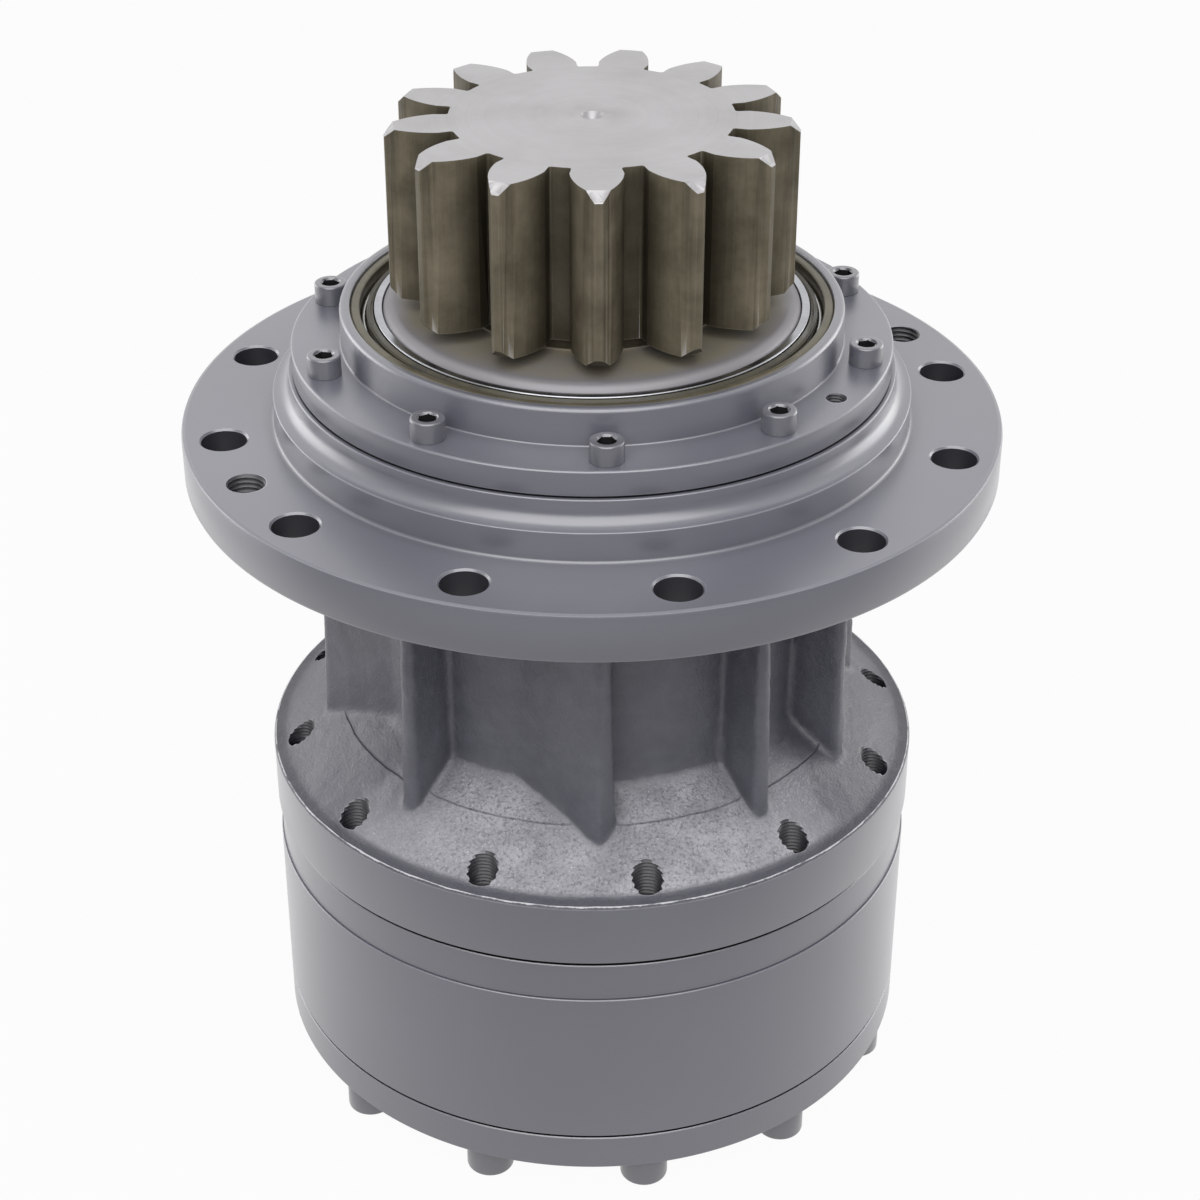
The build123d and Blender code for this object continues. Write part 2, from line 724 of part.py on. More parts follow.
class TaperBearing:
    """Taper roller bearing with the back of its cup at z = 0 and its rollers opening upwards.

    The two raceways and the rollers' axes meet in one apex below the bearing.
    """

    def __init__(self, bore):
        self.bore = bore
        self.tilt = math.radians(bearing_roller_tilt)
        self.middle_radius = bore + bearing_section / 2
        self.middle_z = (bearing_width - bearing_step) / 2
        reach = self.middle_radius / math.sin(self.tilt)
        self.spread = math.atan(bearing_roller_radius / reach)
        self.apex_z = self.middle_z - reach * math.cos(self.tilt)

    def raceway(self, height, side):
        """Radius of the cup's raceway (side 1) or the cone's (side -1) at a height."""
        angle = self.tilt + side * self.spread
        rise = height - self.apex_z + side * roller_gap * math.sin(angle)
        return rise * math.tan(angle) + side * roller_gap * math.cos(angle)

    def cup(self):
        """Outer ring, pressed in the casting."""
        outer = self.bore + bearing_section
        return turned([(outer, 0), (outer, bearing_cup_width),
                       (self.raceway(bearing_cup_width, 1), bearing_cup_width), (self.raceway(0, 1), 0)])

    def cone(self):
        """Inner ring with its two ribs, pressed on the shaft."""
        low = bearing_step
        low_rib = low + bearing_rib
        top = bearing_width
        top_rib = top - bearing_rib
        start = self.raceway(low_rib, -1)
        end = self.raceway(top_rib, -1)
        small = start + bearing_rib_height
        large = end + 2 * bearing_rib_height
        return turned([(self.bore, low), (small, low), (small, low_rib), (start, low_rib),
                       (end, top_rib), (large, top_rib), (large, top), (self.bore, top)])

    def roller_places(self):
        """Places of the rollers, with +Z along each roller and away from the apex."""
        lean = Pos(self.middle_radius, 0, self.middle_z) * Rot(0, bearing_roller_tilt, 0)
        return [Rot(0, 0, i * 360 / bearing_roller_count) * lean for i in range(bearing_roller_count)]

    def rollers(self):
        """The tapered rollers, as separate solids."""
        taper = bearing_roller_length / 2 * math.tan(self.spread)
        roller = Cone(bearing_roller_radius - taper, bearing_roller_radius + taper, bearing_roller_length)
        return [place * roller for place in self.roller_places()]

    def cage(self):
        """Conical cage with one window for each roller."""
        low = bearing_step + cage_inset
        high = bearing_width - cage_inset
        slope = math.tan(self.tilt)
        half = bearing_cage_thickness / 2

        def middle(height):
            return self.middle_radius + (height - self.middle_z) * slope

        shell = turned([(middle(low) - half, low), (middle(low) + half, low),
                        (middle(high) + half, high), (middle(high) - half, high)])
        window = Box(bearing_section, 2 * (bearing_roller_radius + 2 * roller_gap),
                     bearing_roller_length + 2 * roller_gap)
        return shell - [place * window for place in self.roller_places()]


def upper_place():
    """Place of the upper bearing, whose cup stands on its seat."""
    return Pos(0, 0, upper_seat_z)


def lower_place():
    """Place of the lower bearing, turned over under its seat."""
    return Pos(0, 0, lower_seat_z) * Rot(180, 0, 0)


def pinion():
    """Output pinion's teeth, bevelled at the tips and chamfered at both ends."""
    widen = pinion_shift * pinion_module * math.tan(math.radians(pressure_angle))
    half = tooth_half_angle(pinion_teeth, pinion_pitch, widen)
    plan = toothed_face(pinion_teeth, pinion_pitch, pinion_tip, pinion_root, half, pinion_angle,
                        pinion_tip_bevel, pinion_root_corner)
    outer = pinion_tip + cut_margin
    slope = pinion_end_chamfer + cut_margin
    blank = turned([(0, pinion_z), (outer - slope, pinion_z), (outer, pinion_z + slope),
                    (outer, pinion_top_z - slope), (outer - slope, pinion_top_z), (0, pinion_top_z)])
    return lifted(plan, pinion_z, pinion_top_z) & blank


def pinion_shaft():
    """Shaft and output pinion in one forging."""
    low = end_plate_z + end_plate_thickness + running_gap
    neck_low = lower_seat_z + journal_run_out
    neck_high = upper_seat_z - journal_neck
    body = turned([
        (0, low), (spline_root_radius, low), (spline_root_radius, hub_top_z),
        (lower_journal_radius, hub_top_z), (lower_journal_radius, neck_low),
        (shaft_waist_radius, neck_low + journal_taper),
        (shaft_flare_radius, neck_high - journal_taper),
        (upper_journal_radius, neck_high), (upper_journal_radius, upper_cone_z),
        (shoulder_radius, upper_cone_z), (shoulder_radius, collar_z), (collar_radius, collar_z),
        (collar_radius, collar_top_z), (pinion_relief_radius, collar_top_z),
        (pinion_relief_radius, pinion_z + cut_margin), (0, pinion_z + cut_margin),
    ])
    body = fillet(rings_at(body, collar_radius, collar_top_z), collar_fillet)
    body += lifted(spline_face(spline_root_radius, spline_depth - fit_gap), low, hub_top_z)
    body += pinion()
    body -= rod(centre_hole_radius, pinion_top_z - centre_hole_depth, pinion_top_z + cut_margin)
    sink_depth = (centre_sink_radius - centre_hole_radius) * math.sqrt(3)
    sink = Cone(centre_hole_radius, centre_sink_radius, sink_depth,
                align=(Align.CENTER, Align.CENTER, Align.MAX))
    body -= Pos(0, 0, pinion_top_z) * sink
    holes = ring_of_points(end_bolt_circle, end_bolt_count)
    return body - rods(end_bolt_radius, low - cut_margin, low + end_bolt_length, holes)


def shaft_end_plate():
    """Plate that clamps the carrier's hub and the lower cone on the shaft."""
    top = end_plate_z + end_plate_thickness
    holes = rods(end_bolt_radius + fit_gap, end_plate_z - cut_margin, top + cut_margin,
                 ring_of_points(end_bolt_circle, end_bolt_count))
    return rod(end_plate_radius, end_plate_z, top) - holes


def shaft_end_bolts():
    """Low-headed bolts through the end plate."""
    bolt = socket_screw(end_head_radius, end_head_height - running_gap, end_bolt_radius,
                        end_bolt_radius, end_socket_size, end_socket_depth,
                        end_plate_thickness, end_bolt_length - end_plate_thickness)
    return [Pos(x, y, end_plate_z) * bolt for x, y in ring_of_points(end_bolt_circle, end_bolt_count)]


def bearing_spacer():
    """Ring between the carrier's hub and the lower cone."""
    return tube(hub_radius, lower_journal_radius, hub_top_z, lower_cone_z)


def wear_sleeve():
    """Hardened sleeve on the collar, which the oil seal runs on."""
    high = collar_top_z - wear_sleeve_setback
    sleeve = tube(sleeve_radius, collar_radius, high - wear_sleeve_height, high)
    return chamfer(rings_at(sleeve, sleeve_radius, high), seam_chamfer / 2)


def seal_cover():
    """Cover over the upper bearing, with the bore for the oil seal."""
    bore = collar_radius + collar_gap
    low = boss_top_z - cover_spigot_height
    seat_z = seal_top_z - seal_bore_depth
    body = turned([
        (bore, low), (cover_spigot_radius, low), (cover_spigot_radius, boss_top_z),
        (seal_cover_radius, boss_top_z), (seal_cover_radius, seal_flange_z),
        (seal_rim_radius, seal_flange_z), (seal_rim_radius, seal_top_z), (seal_bore_radius, seal_top_z),
        (seal_bore_radius, seat_z), (seal_lower_bore_radius, seat_z),
        (seal_lower_bore_radius, boss_top_z + cover_web_height), (bore, boss_top_z + cover_web_height),
    ])
    body = chamfer(rings_at(body, seal_rim_radius, seal_top_z), seal_rim_chamfer)
    body = chamfer(rings_at(body, seal_bore_radius, seal_top_z), seal_mouth_chamfer)
    body = chamfer(rings_at(body, seal_cover_radius, seal_flange_z), seam_chamfer)
    screws = ring_of_points(cover_screw_circle, cover_screw_count, cover_screw_start)
    low = boss_top_z - cut_margin
    high = seal_flange_z + cut_margin
    body -= rods(cover_screw_hole_radius, low, high, screws)
    pullers = ring_of_points(cover_screw_circle, 2, puller_angle)
    body -= rods(cover_thread_hole_radius, low, high, pullers)
    half = drum_seal_section / 2 + fit_gap
    groove_top = boss_top_z + drum_seal_section + fit_gap
    return body - tube(cover_seal_radius + half, cover_seal_radius - half, low, groove_top)


def cover_screws():
    """Screws of the seal cover, heads up."""
    screw = socket_screw(cover_head_radius, cover_head_height, cover_screw_radius, cover_thread_radius,
                         cover_socket_size, cover_socket_depth, seal_flange_height, cover_screw_bite)
    over = Rot(180, 0, 0) * screw
    places = ring_of_points(cover_screw_circle, cover_screw_count, cover_screw_start)
    return [Pos(x, y, seal_flange_z) * over for x, y in places]


def drum_bolts():
    """Long bolts from under the motor cover up into the casting's rim."""
    bolt = socket_screw(drum_head_radius, drum_head_height, drum_bolt_radius, drum_bolt_thread_radius,
                        drum_socket_size, drum_socket_depth, rim_z - cover_z, drum_bolt_bite)
    places = ring_of_points(drum_bolt_circle, drum_bolt_count, drum_bolt_start)
    return [Pos(x, y, cover_z) * bolt for x, y in places]


def dowel_pins():
    """Two pins that line up the drum and the casting."""
    return rods(dowel_radius, ring_z - dowel_bite, rim_z + dowel_bite,
                ring_of_points(drum_bolt_circle, 2, dowel_angle))


def drum_seals():
    """Rubber rings in the three joints of the drum."""
    middle = ring_root + drum_seal_inset
    return [seal_ring(middle, top - drum_seal_section / 2 - fit_gap / 2, drum_seal_section - fit_gap)
            for top in (ring_z, spacer_z, rim_z)]


def seal_cover_o_ring():
    """Rubber ring under the seal cover."""
    height = boss_top_z + drum_seal_section / 2 + fit_gap / 2
    return seal_ring(cover_seal_radius, height, drum_seal_section - fit_gap)


def oil_seal_case():
    """Metal case of the oil seal, pressed in the seal cover."""
    high = seal_top_z - seal_case_setback
    low = high - seal_case_height
    inner = seal_bore_radius - seal_case_wall
    web = sleeve_radius + running_gap + seal_lip_wall
    case = turned([(web, low), (seal_bore_radius, low), (seal_bore_radius, high), (inner, high),
                   (inner, low + seal_web_height), (web, low + seal_web_height)])
    return chamfer(rings_at(case, seal_bore_radius, high), seal_case_chamfer)


def oil_seal_lip():
    """Rubber lip that runs on the wear sleeve."""
    inner = sleeve_radius + running_gap
    outer = inner + seal_lip_wall
    high = seal_top_z - seal_lip_setback
    low = seal_top_z - seal_case_setback - seal_case_height
    return turned([(outer - seal_lip_root, low), (outer, low), (outer, high), (inner, high),
                   (inner, high - seal_lip_edge)])


def oil_seal_spring():
    """Garter spring round the lip."""
    outer = sleeve_radius + running_gap + seal_lip_wall
    return seal_ring(outer + seal_spring_section + fit_gap, seal_top_z - seal_case_height / 2,
                     2 * seal_spring_section)


def radial(shape, foot_radius):
    """Shape along +Z laid radially outwards on the drain's axis, its foot at a radius."""
    return Rot(0, 0, drain_angle) * Pos(foot_radius, 0, drain_z) * Rot(0, 90, 0) * shape


def motor_cover():
    """Bottom plate with the motor's pad, pilot bore and tapped holes."""
    pilot_top = motor_face_z + motor_pilot_depth
    body = turned([
        (input_bore_radius, pilot_top), (motor_pilot_radius, pilot_top),
        (motor_pilot_radius, motor_face_z), (motor_pad_radius, motor_face_z), (motor_pad_radius, cover_z),
        (drum_radius, cover_z), (drum_radius, ring_z), (input_bore_radius, ring_z),
    ])
    edges = rings_at(body, drum_radius, ring_z) + rings_at(body, drum_radius, cover_z)
    body = chamfer(edges, seam_chamfer)
    body = chamfer(rings_at(body, motor_pad_radius, motor_face_z), seam_chamfer)
    bolts = ring_of_points(drum_bolt_circle, drum_bolt_count, drum_bolt_start)
    body -= rods(drum_bolt_hole_radius, motor_face_z, ring_z + cut_margin, bolts)
    dowels = ring_of_points(drum_bolt_circle, 2, dowel_angle)
    body -= rods(dowel_radius, ring_z - dowel_bite, ring_z + cut_margin, dowels)
    motor_holes = ring_of_points(motor_bolt_circle, motor_bolt_count, 180 / motor_bolt_count)
    body -= rods(motor_bolt_hole_radius, motor_face_z - cut_margin, motor_face_z + motor_bolt_depth,
                 motor_holes)
    sump_radius = ring_tip - drain_passage_radius - sump_wall
    floor_radius = drain_seat_radius - drain_plug_length - drain_run_out
    body -= radial(rod(drain_plug_radius, 0, 2 * drain_plug_length), floor_radius)
    body -= radial(rod(drain_passage_radius, 0, drum_radius - sump_radius), sump_radius)
    body -= rod(drain_passage_radius, drain_z, ring_z + cut_margin, polar(sump_radius, drain_angle))
    body -= radial(rod(drain_head_radius, 0, drain_head_height), drain_seat_radius)
    return body - seal_groove(ring_z)


def drain_plug():
    """Hexagon-socket plug in the back of the motor cover."""
    body = rod(drain_plug_radius, -drain_plug_length, 0)
    body += rod(drain_head_radius, drain_washer_thickness, drain_washer_thickness + drain_head_height)
    body += rod(drain_plug_radius, 0, drain_washer_thickness)
    top = drain_washer_thickness + drain_head_height
    hexagon = RegularPolygon(drain_socket_size / 2, 6, major_radius=False)
    body -= Pos(0, 0, top - drain_socket_depth) * extrude(hexagon, drain_socket_depth)
    return radial(body, drain_seat_radius)


def drain_plug_washer():
    """Sealing washer under the drain plug's head."""
    washer = tube(drain_head_radius, drain_plug_radius, 0, drain_washer_thickness)
    return radial(washer, drain_seat_radius)


def all_nodes():
    """Every separate piece or group of like pieces, by its name."""
    upper = TaperBearing(upper_journal_radius)
    lower = TaperBearing(lower_journal_radius)
    nodes = {
        "main_housing": main_housing(),
        "seal_cover": seal_cover(),
        "seal_cover_screws": cover_screws(),
        "seal_cover_o_ring": seal_cover_o_ring(),
        "oil_seal_case": oil_seal_case(),
        "oil_seal_lip": oil_seal_lip(),
        "oil_seal_spring": oil_seal_spring(),
        "upper_bearing_cup": upper_place() * upper.cup(),
        "lower_bearing_cup": lower_place() * lower.cup(),
        "spacer_ring": spacer_ring(),
        "ring_gear": ring_gear(),
        "motor_cover": motor_cover(),
        "drum_bolts": drum_bolts(),
        "drum_o_rings": drum_seals(),
        "dowel_pins": dowel_pins(),
        "drain_plug": drain_plug(),
        "drain_plug_washer": drain_plug_washer(),
        "pinion_shaft": pinion_shaft(),
        "seal_wear_sleeve": wear_sleeve(),
        "upper_bearing_cone": upper_place() * upper.cone(),
        "lower_bearing_cone": lower_place() * lower.cone(),
        "bearing_spacer": bearing_spacer(),
        "stage2_carrier": stage2_carrier(),
        "stage2_planet_pins": planet_pins(stage2_planet_count, stage2_z, stage2_top_z, stage2_lock_z),
        "stage2_pin_locks": [pin_lock(i * 360 / stage2_planet_count, stage2_lock_z)
                             for i in range(stage2_planet_count)],
        "stage2_planet_washers": planet_washers(stage2_planet_count, stage2_pocket_z, stage2_pocket_top),
        "shaft_end_plate": shaft_end_plate(),
        "shaft_end_bolts": shaft_end_bolts(),
        "upper_bearing_rollers": [upper_place() * roller for roller in upper.rollers()],
        "upper_bearing_cage": upper_place() * upper.cage(),
        "lower_bearing_rollers": [lower_place() * roller for roller in lower.rollers()],
        "lower_bearing_cage": lower_place() * lower.cage(),
        "stage2_sun_gear": stage2_sun_gear(),
        "sun_snap_ring": snap_ring(),
        "stage1_carrier": stage1_carrier(),
        "stage1_planet_pins": planet_pins(stage1_planet_count, stage1_z, stage1_top_z, stage1_lock_z),
        "stage1_pin_locks": [pin_lock(i * 360 / stage1_planet_count, stage1_lock_z)
                             for i in range(stage1_planet_count)],
        "stage1_planet_washers": planet_washers(stage1_planet_count, stage1_pocket_z, stage1_pocket_top),
        "stage1_sun_gear": stage1_sun_gear(),
        "input_thrust_washer": input_thrust_washer(),
    }
    cover_washer, carrier_washer = carrier_thrust_washers()
    nodes["cover_thrust_washer"] = cover_washer
    nodes["carrier_thrust_washer"] = carrier_washer
    stages = (
        ("stage1", stage1_planet_count, stage1_pocket_z + washer_gap, stage1_face_width),
        ("stage2", stage2_planet_count, stage2_pocket_z + washer_gap, stage2_face_width),
    )
    for stage, count, low, width in stages:
        for i in range(count):
            nodes[f"{stage}_planet_gear_{i + 1}"] = planet_gear(i, count, low, low + width)
            nodes[f"{stage}_planet_bush_{i + 1}"] = planet_bush(i, count, low, low + width)
    return nodes


def write_nodes(nodes):
    """Write one STEP file for each node."""
    os.makedirs("parts", exist_ok=True)
    for name, shape in nodes.items():
        pieces = shape if isinstance(shape, list) else [shape]
        solids = [solid for piece in pieces for solid in piece.solids()]
        export_step(Compound(solids) if len(solids) > 1 else solids[0], f"parts/{name}.step")


write_nodes(all_nodes())
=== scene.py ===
"""Looks of the excavator swing gearbox: its finishes, its fine shapes, the studio and the camera.

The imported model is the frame. Every piece made here sits where the frame says and rides on one of its
bodies. Heights and radii in the classes are millimetres of that frame; Blender's own unit is the metre.
"""
import json
import logging
import math
from dataclasses import dataclass, field
from enum import Enum
from typing import Any, Callable, Iterable, Sequence

import bpy
from mathutils import Matrix, Vector


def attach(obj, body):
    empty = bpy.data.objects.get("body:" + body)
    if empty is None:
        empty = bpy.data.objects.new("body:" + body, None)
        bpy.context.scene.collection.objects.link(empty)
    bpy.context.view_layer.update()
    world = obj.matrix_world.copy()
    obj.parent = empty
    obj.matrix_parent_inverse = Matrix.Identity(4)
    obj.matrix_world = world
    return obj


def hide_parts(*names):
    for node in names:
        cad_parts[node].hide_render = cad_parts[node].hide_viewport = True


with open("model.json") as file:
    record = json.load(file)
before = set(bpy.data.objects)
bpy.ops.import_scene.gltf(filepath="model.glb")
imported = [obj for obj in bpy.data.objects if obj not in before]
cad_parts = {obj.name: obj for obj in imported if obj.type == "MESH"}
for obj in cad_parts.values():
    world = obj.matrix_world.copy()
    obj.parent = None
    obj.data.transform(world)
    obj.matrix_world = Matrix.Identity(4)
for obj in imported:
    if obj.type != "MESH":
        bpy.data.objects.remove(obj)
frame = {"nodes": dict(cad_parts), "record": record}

LOG = logging.getLogger("swing_gearbox")
MM = 0.001
FULL_TURN = 2 * math.pi
FACETS = 256             # facets round a large turned part
WELD = 1e-6              # vertices closer than this are one, in metres
LEVEL = 0.9995           # vertical part of a level face's normal
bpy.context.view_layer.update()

Piece = bpy.types.Object
Material = bpy.types.Material
Socket = bpy.types.NodeSocket
Colour = tuple[float, float, float]
Point = tuple[float, float, float]


class Body(Enum):
    """Bodies of the frame that new pieces ride on."""

    HOUSING = "housing"
    OUTPUT = "output"


class Slot(Enum):
    """Material slots of the record."""

    CAST_PAINT = "cast_paint"
    MACHINE_PAINT = "machine_paint"
    SCREW_PAINT = "screw_paint"
    PINION_STEEL = "pinion_steel"
    POLISHED_STEEL = "polished_steel"
    BEARING_STEEL = "bearing_steel"
    GEAR_STEEL = "gear_steel"
    CARRIER_IRON = "carrier_iron"
    SEAL_METAL = "seal_metal"
    SEAL_RUBBER = "seal_rubber"
    BLACK_RUBBER = "black_rubber"
    BRONZE = "bronze"


# Workbench: short wrappers round the mesh operators


def leave_edit() -> None:
    """Go back from edit mode to object mode."""
    bpy.ops.object.mode_set(mode="OBJECT")


def clear_selection() -> None:
    """Leave edit mode and deselect every object."""
    if bpy.context.mode != "OBJECT":
        leave_edit()
    bpy.ops.object.select_all(action="DESELECT")


def hold(piece: Piece) -> None:
    """Make one object the only selected one, and the active one.

    Args:
        piece: The object.
    """
    clear_selection()
    piece.select_set(True)
    bpy.context.view_layer.objects.active = piece


def edit(piece: Piece, action: str = "SELECT") -> None:
    """Enter a piece's edit mode, with its whole mesh selected or none of it.

    Args:
        piece: Mesh object.
        action: SELECT or DESELECT.
    """
    hold(piece)
    bpy.ops.object.mode_set(mode="EDIT")
    bpy.ops.mesh.select_all(action=action)


def drop(piece: Piece) -> None:
    """Delete an object that is used up."""
    bpy.data.objects.remove(piece, do_unlink=True)


def baked(name: str) -> Piece:
    """Bake the active object's place into its mesh, name both and hand the object back.

    Args:
        name: Name of the object and of its mesh.

    Returns:
        The object, untransformed.
    """
    bpy.ops.object.transform_apply(location=True, rotation=True, scale=True)
    piece = bpy.context.object
    piece.name = name
    piece.data.name = name
    return piece


def select_vertices(piece: Piece, wanted: Callable[[Vector], bool]) -> None:
    """Select the vertices whose place passes a test, and enter edit mode.

    Args:
        piece: Mesh object at the origin.
        wanted: Test of a vertex's place, in metres.
    """
    edit(piece, "DESELECT")
    bpy.ops.mesh.select_mode(type="VERT")
    leave_edit()
    for vertex in piece.data.vertices:
        vertex.select = wanted(vertex.co)
    bpy.ops.object.mode_set(mode="EDIT")


def close_seams(piece: Piece) -> None:
    """Merge doubled vertices and turn every face outwards.

    Args:
        piece: Mesh object.
    """
    edit(piece)
    bpy.ops.mesh.remove_doubles(threshold=WELD)
    bpy.ops.mesh.normals_make_consistent(inside=False)
    leave_edit()


def smooth(piece: Piece, degrees: float = 24.0, turned_part: bool = True) -> None:
    """Shade smooth across edges flatter than an angle.

    Args:
        piece: Mesh object.
        degrees: Edges sharper than this stay sharp.
        turned_part: Level faces are machined flat, and stay so.
    """
    hold(piece)
    bpy.ops.object.shade_smooth_by_angle(angle=math.radians(degrees))
    for face in piece.data.polygons if turned_part else ():
        if abs(face.normal.z) > LEVEL:
            face.use_smooth = False


def apply_modifier(piece: Piece, kind: str, **settings: Any) -> None:
    """Add one modifier with its settings and apply it.

    Args:
        piece: Mesh object.
        kind: Blender's name of the modifier's type.
        settings: Properties of the modifier.
    """
    hold(piece)
    step = piece.modifiers.new(kind.lower(), kind)
    for key, value in settings.items():
        setattr(step, key, value)
    bpy.ops.object.modifier_apply(modifier=step.name)


def cut_away(piece: Piece, cutter: Piece, operation: str = "DIFFERENCE") -> None:
    """Cut a piece with another one, and drop the cutter.

    Args:
        piece: Closed mesh object that stays.
        cutter: Closed mesh object that is used up.
        operation: DIFFERENCE, INTERSECT or UNION.
    """
    apply_modifier(piece, "BOOLEAN", operation=operation, solver="EXACT", object=cutter)
    drop(cutter)


def joined(pieces: Sequence[Piece]) -> Piece:
    """Join several objects in the first of them.

    Args:
        pieces: Mesh objects, each at the origin.

    Returns:
        The first object, which now holds every mesh.
    """
    hold(pieces[0])
    for piece in pieces[1:]:
        piece.select_set(True)
    bpy.ops.object.join()
    return bpy.context.object


def moved(piece: Piece, name: str, place: Matrix) -> Piece:
    """Move a piece and bake its new place into its mesh.

    Args:
        piece: Piece at the origin.
        name: Its new name.
        place: Transform to the new place.

    Returns:
        The piece, untransformed.
    """
    hold(piece)
    piece.matrix_world = place
    return baked(name)


def placed_copy(pattern: Piece, name: str, place: Matrix) -> Piece:
    """Copy a piece with its own mesh to a place.

    Args:
        pattern: Finished piece at the origin.
        name: Name of the copy.
        place: Transform of the copy.

    Returns:
        The copy, untransformed.
    """
    hold(pattern)
    bpy.ops.object.duplicate(linked=False)
    return moved(bpy.context.object, name, place)


@dataclass(frozen=True)
class HoleRing:
    """Upright holes or screws, spaced evenly on a circle round the main axis. Sizes in mm."""

    circle: float
    count: int
    start: float

    def places(self, height: float = 0.0, over: bool = False) -> list[Matrix]:
        """Transforms to the places on the circle.

        Args:
            height: Height of each place.
            over: Turn each place upside down.

        Returns:
            One transform for each place.
        """
        flip = Matrix.Rotation(math.pi, 4, "X") if over else Matrix.Identity(4)
        away = Matrix.Translation((self.circle * MM, 0.0, height * MM))
        return [Matrix.Rotation(math.radians(self.start + i * 360 / self.count), 4, "Z") @ away @ flip
                for i in range(self.count)]

    def off(self, place: Vector) -> float:
        """Distance from a place to the axis of the nearest hole.

        Args:
            place: Place in metres.

        Returns:
            Distance in mm.
        """
        pitch = 360 / self.count
        turn = math.degrees(math.atan2(place.y, place.x)) - self.start
        apart = math.radians(turn - pitch * round(turn / pitch))
        out = from_axis(place)
        return math.hypot(out * math.cos(apart) - self.circle, out * math.sin(apart))

    def cutter(self, pattern: Piece) -> Piece:
        """Set out copies of a cutter on the circle, and drop the pattern.

        Args:
            pattern: Cutter on the main axis.

        Returns:
            The copies as one object.
        """
        copies = [placed_copy(pattern, "cutter", place) for place in self.places()]
        drop(pattern)
        return joined(copies)


DRUM_BOLTS = HoleRing(152.5, 12, 10.0)


def from_axis(place: Vector) -> float:
    """Distance in mm from the main axis to a place in metres."""
    return math.hypot(place.x, place.y) / MM


@dataclass(frozen=True)
class Corner:
    """Corner of a turned outline, in mm, with the size of its chamfer or rounding."""

    radius: float
    height: float
    ease: float = 0.0
    steps: int = 3

    def point(self) -> Vector:
        """Place of the corner in the plane of the outline, in metres."""
        return Vector((self.radius * MM, 0.0, self.height * MM))


def turned(name: str, outline: Sequence[tuple[float, ...]], facets: int = FACETS) -> Piece:
    """Turn a closed outline about the main axis, as on a lathe.

    Args:
        name: Name of the piece.
        outline: Values of its corners in order.
        facets: Facets round the axis.

    Returns:
        The closed piece.
    """
    corners = [Corner(*values) for values in outline]
    clear_selection()
    bpy.ops.mesh.primitive_circle_add(vertices=len(corners), radius=1.0, fill_type="NOTHING")
    piece = baked(name)
    for vertex, corner in zip(piece.data.vertices, corners):
        vertex.co = corner.point()
    for corner in corners:
        if corner.ease:
            spot = corner.point()
            select_vertices(piece, lambda place: (place - spot).length < WELD / 10)
            bpy.ops.mesh.bevel(offset_type="OFFSET", offset=corner.ease * MM, segments=corner.steps,
                               affect="VERTICES")
            leave_edit()
    edit(piece)
    bpy.ops.mesh.spin(steps=facets, angle=FULL_TURN, center=(0, 0, 0), axis=(0, 0, 1))
    close_seams(piece)
    return piece


def rod(name: str, radius: float, low: float, high: float, sides: int = FACETS) -> Piece:
    """Upright closed cylinder on the main axis.

    Args:
        name: Name of the piece.
        radius: Radius in mm.
        low: Lower end in mm.
        high: Upper end in mm.
        sides: Facets round it.

    Returns:
        The cylinder.
    """
    clear_selection()
    bpy.ops.mesh.primitive_cylinder_add(vertices=sides, radius=radius * MM, depth=(high - low) * MM,
                                        location=(0, 0, (low + high) / 2 * MM))
    return baked(name)


def merged_copy(node: str, name: str) -> Piece:
    """Copy a CAD node's mesh with its loose triangles merged.

    Args:
        node: Name of the CAD node.
        name: Name of the copy.

    Returns:
        The copy, with its doubled vertices merged.
    """
    mesh = frame["nodes"][node].data.copy()
    piece = bpy.data.objects.new(name, mesh)
    bpy.context.scene.collection.objects.link(piece)
    edit(piece)
    bpy.ops.mesh.remove_doubles(threshold=WELD)
    leave_edit()
    mesh.materials.clear()
    mesh.name = name
    return piece


def finish_faces(piece: Piece, main: Material, other: Material,
                 wanted: Callable[[Vector, Vector], bool]) -> None:
    """Give some faces of a piece another finish than the rest.

    Args:
        piece: Mesh object at the origin.
        main: Finish of the rest, which it gets if it has none.
        other: Finish of the chosen faces.
        wanted: Test of a face's middle and normal.
    """
    slots = piece.data.materials
    if not slots:
        slots.append(main)
    slots.append(other)
    for face in piece.data.polygons:
        if wanted(face.center, face.normal):
            face.material_index = len(slots) - 1


# Shader workshop: nodes, shared groups and finishes


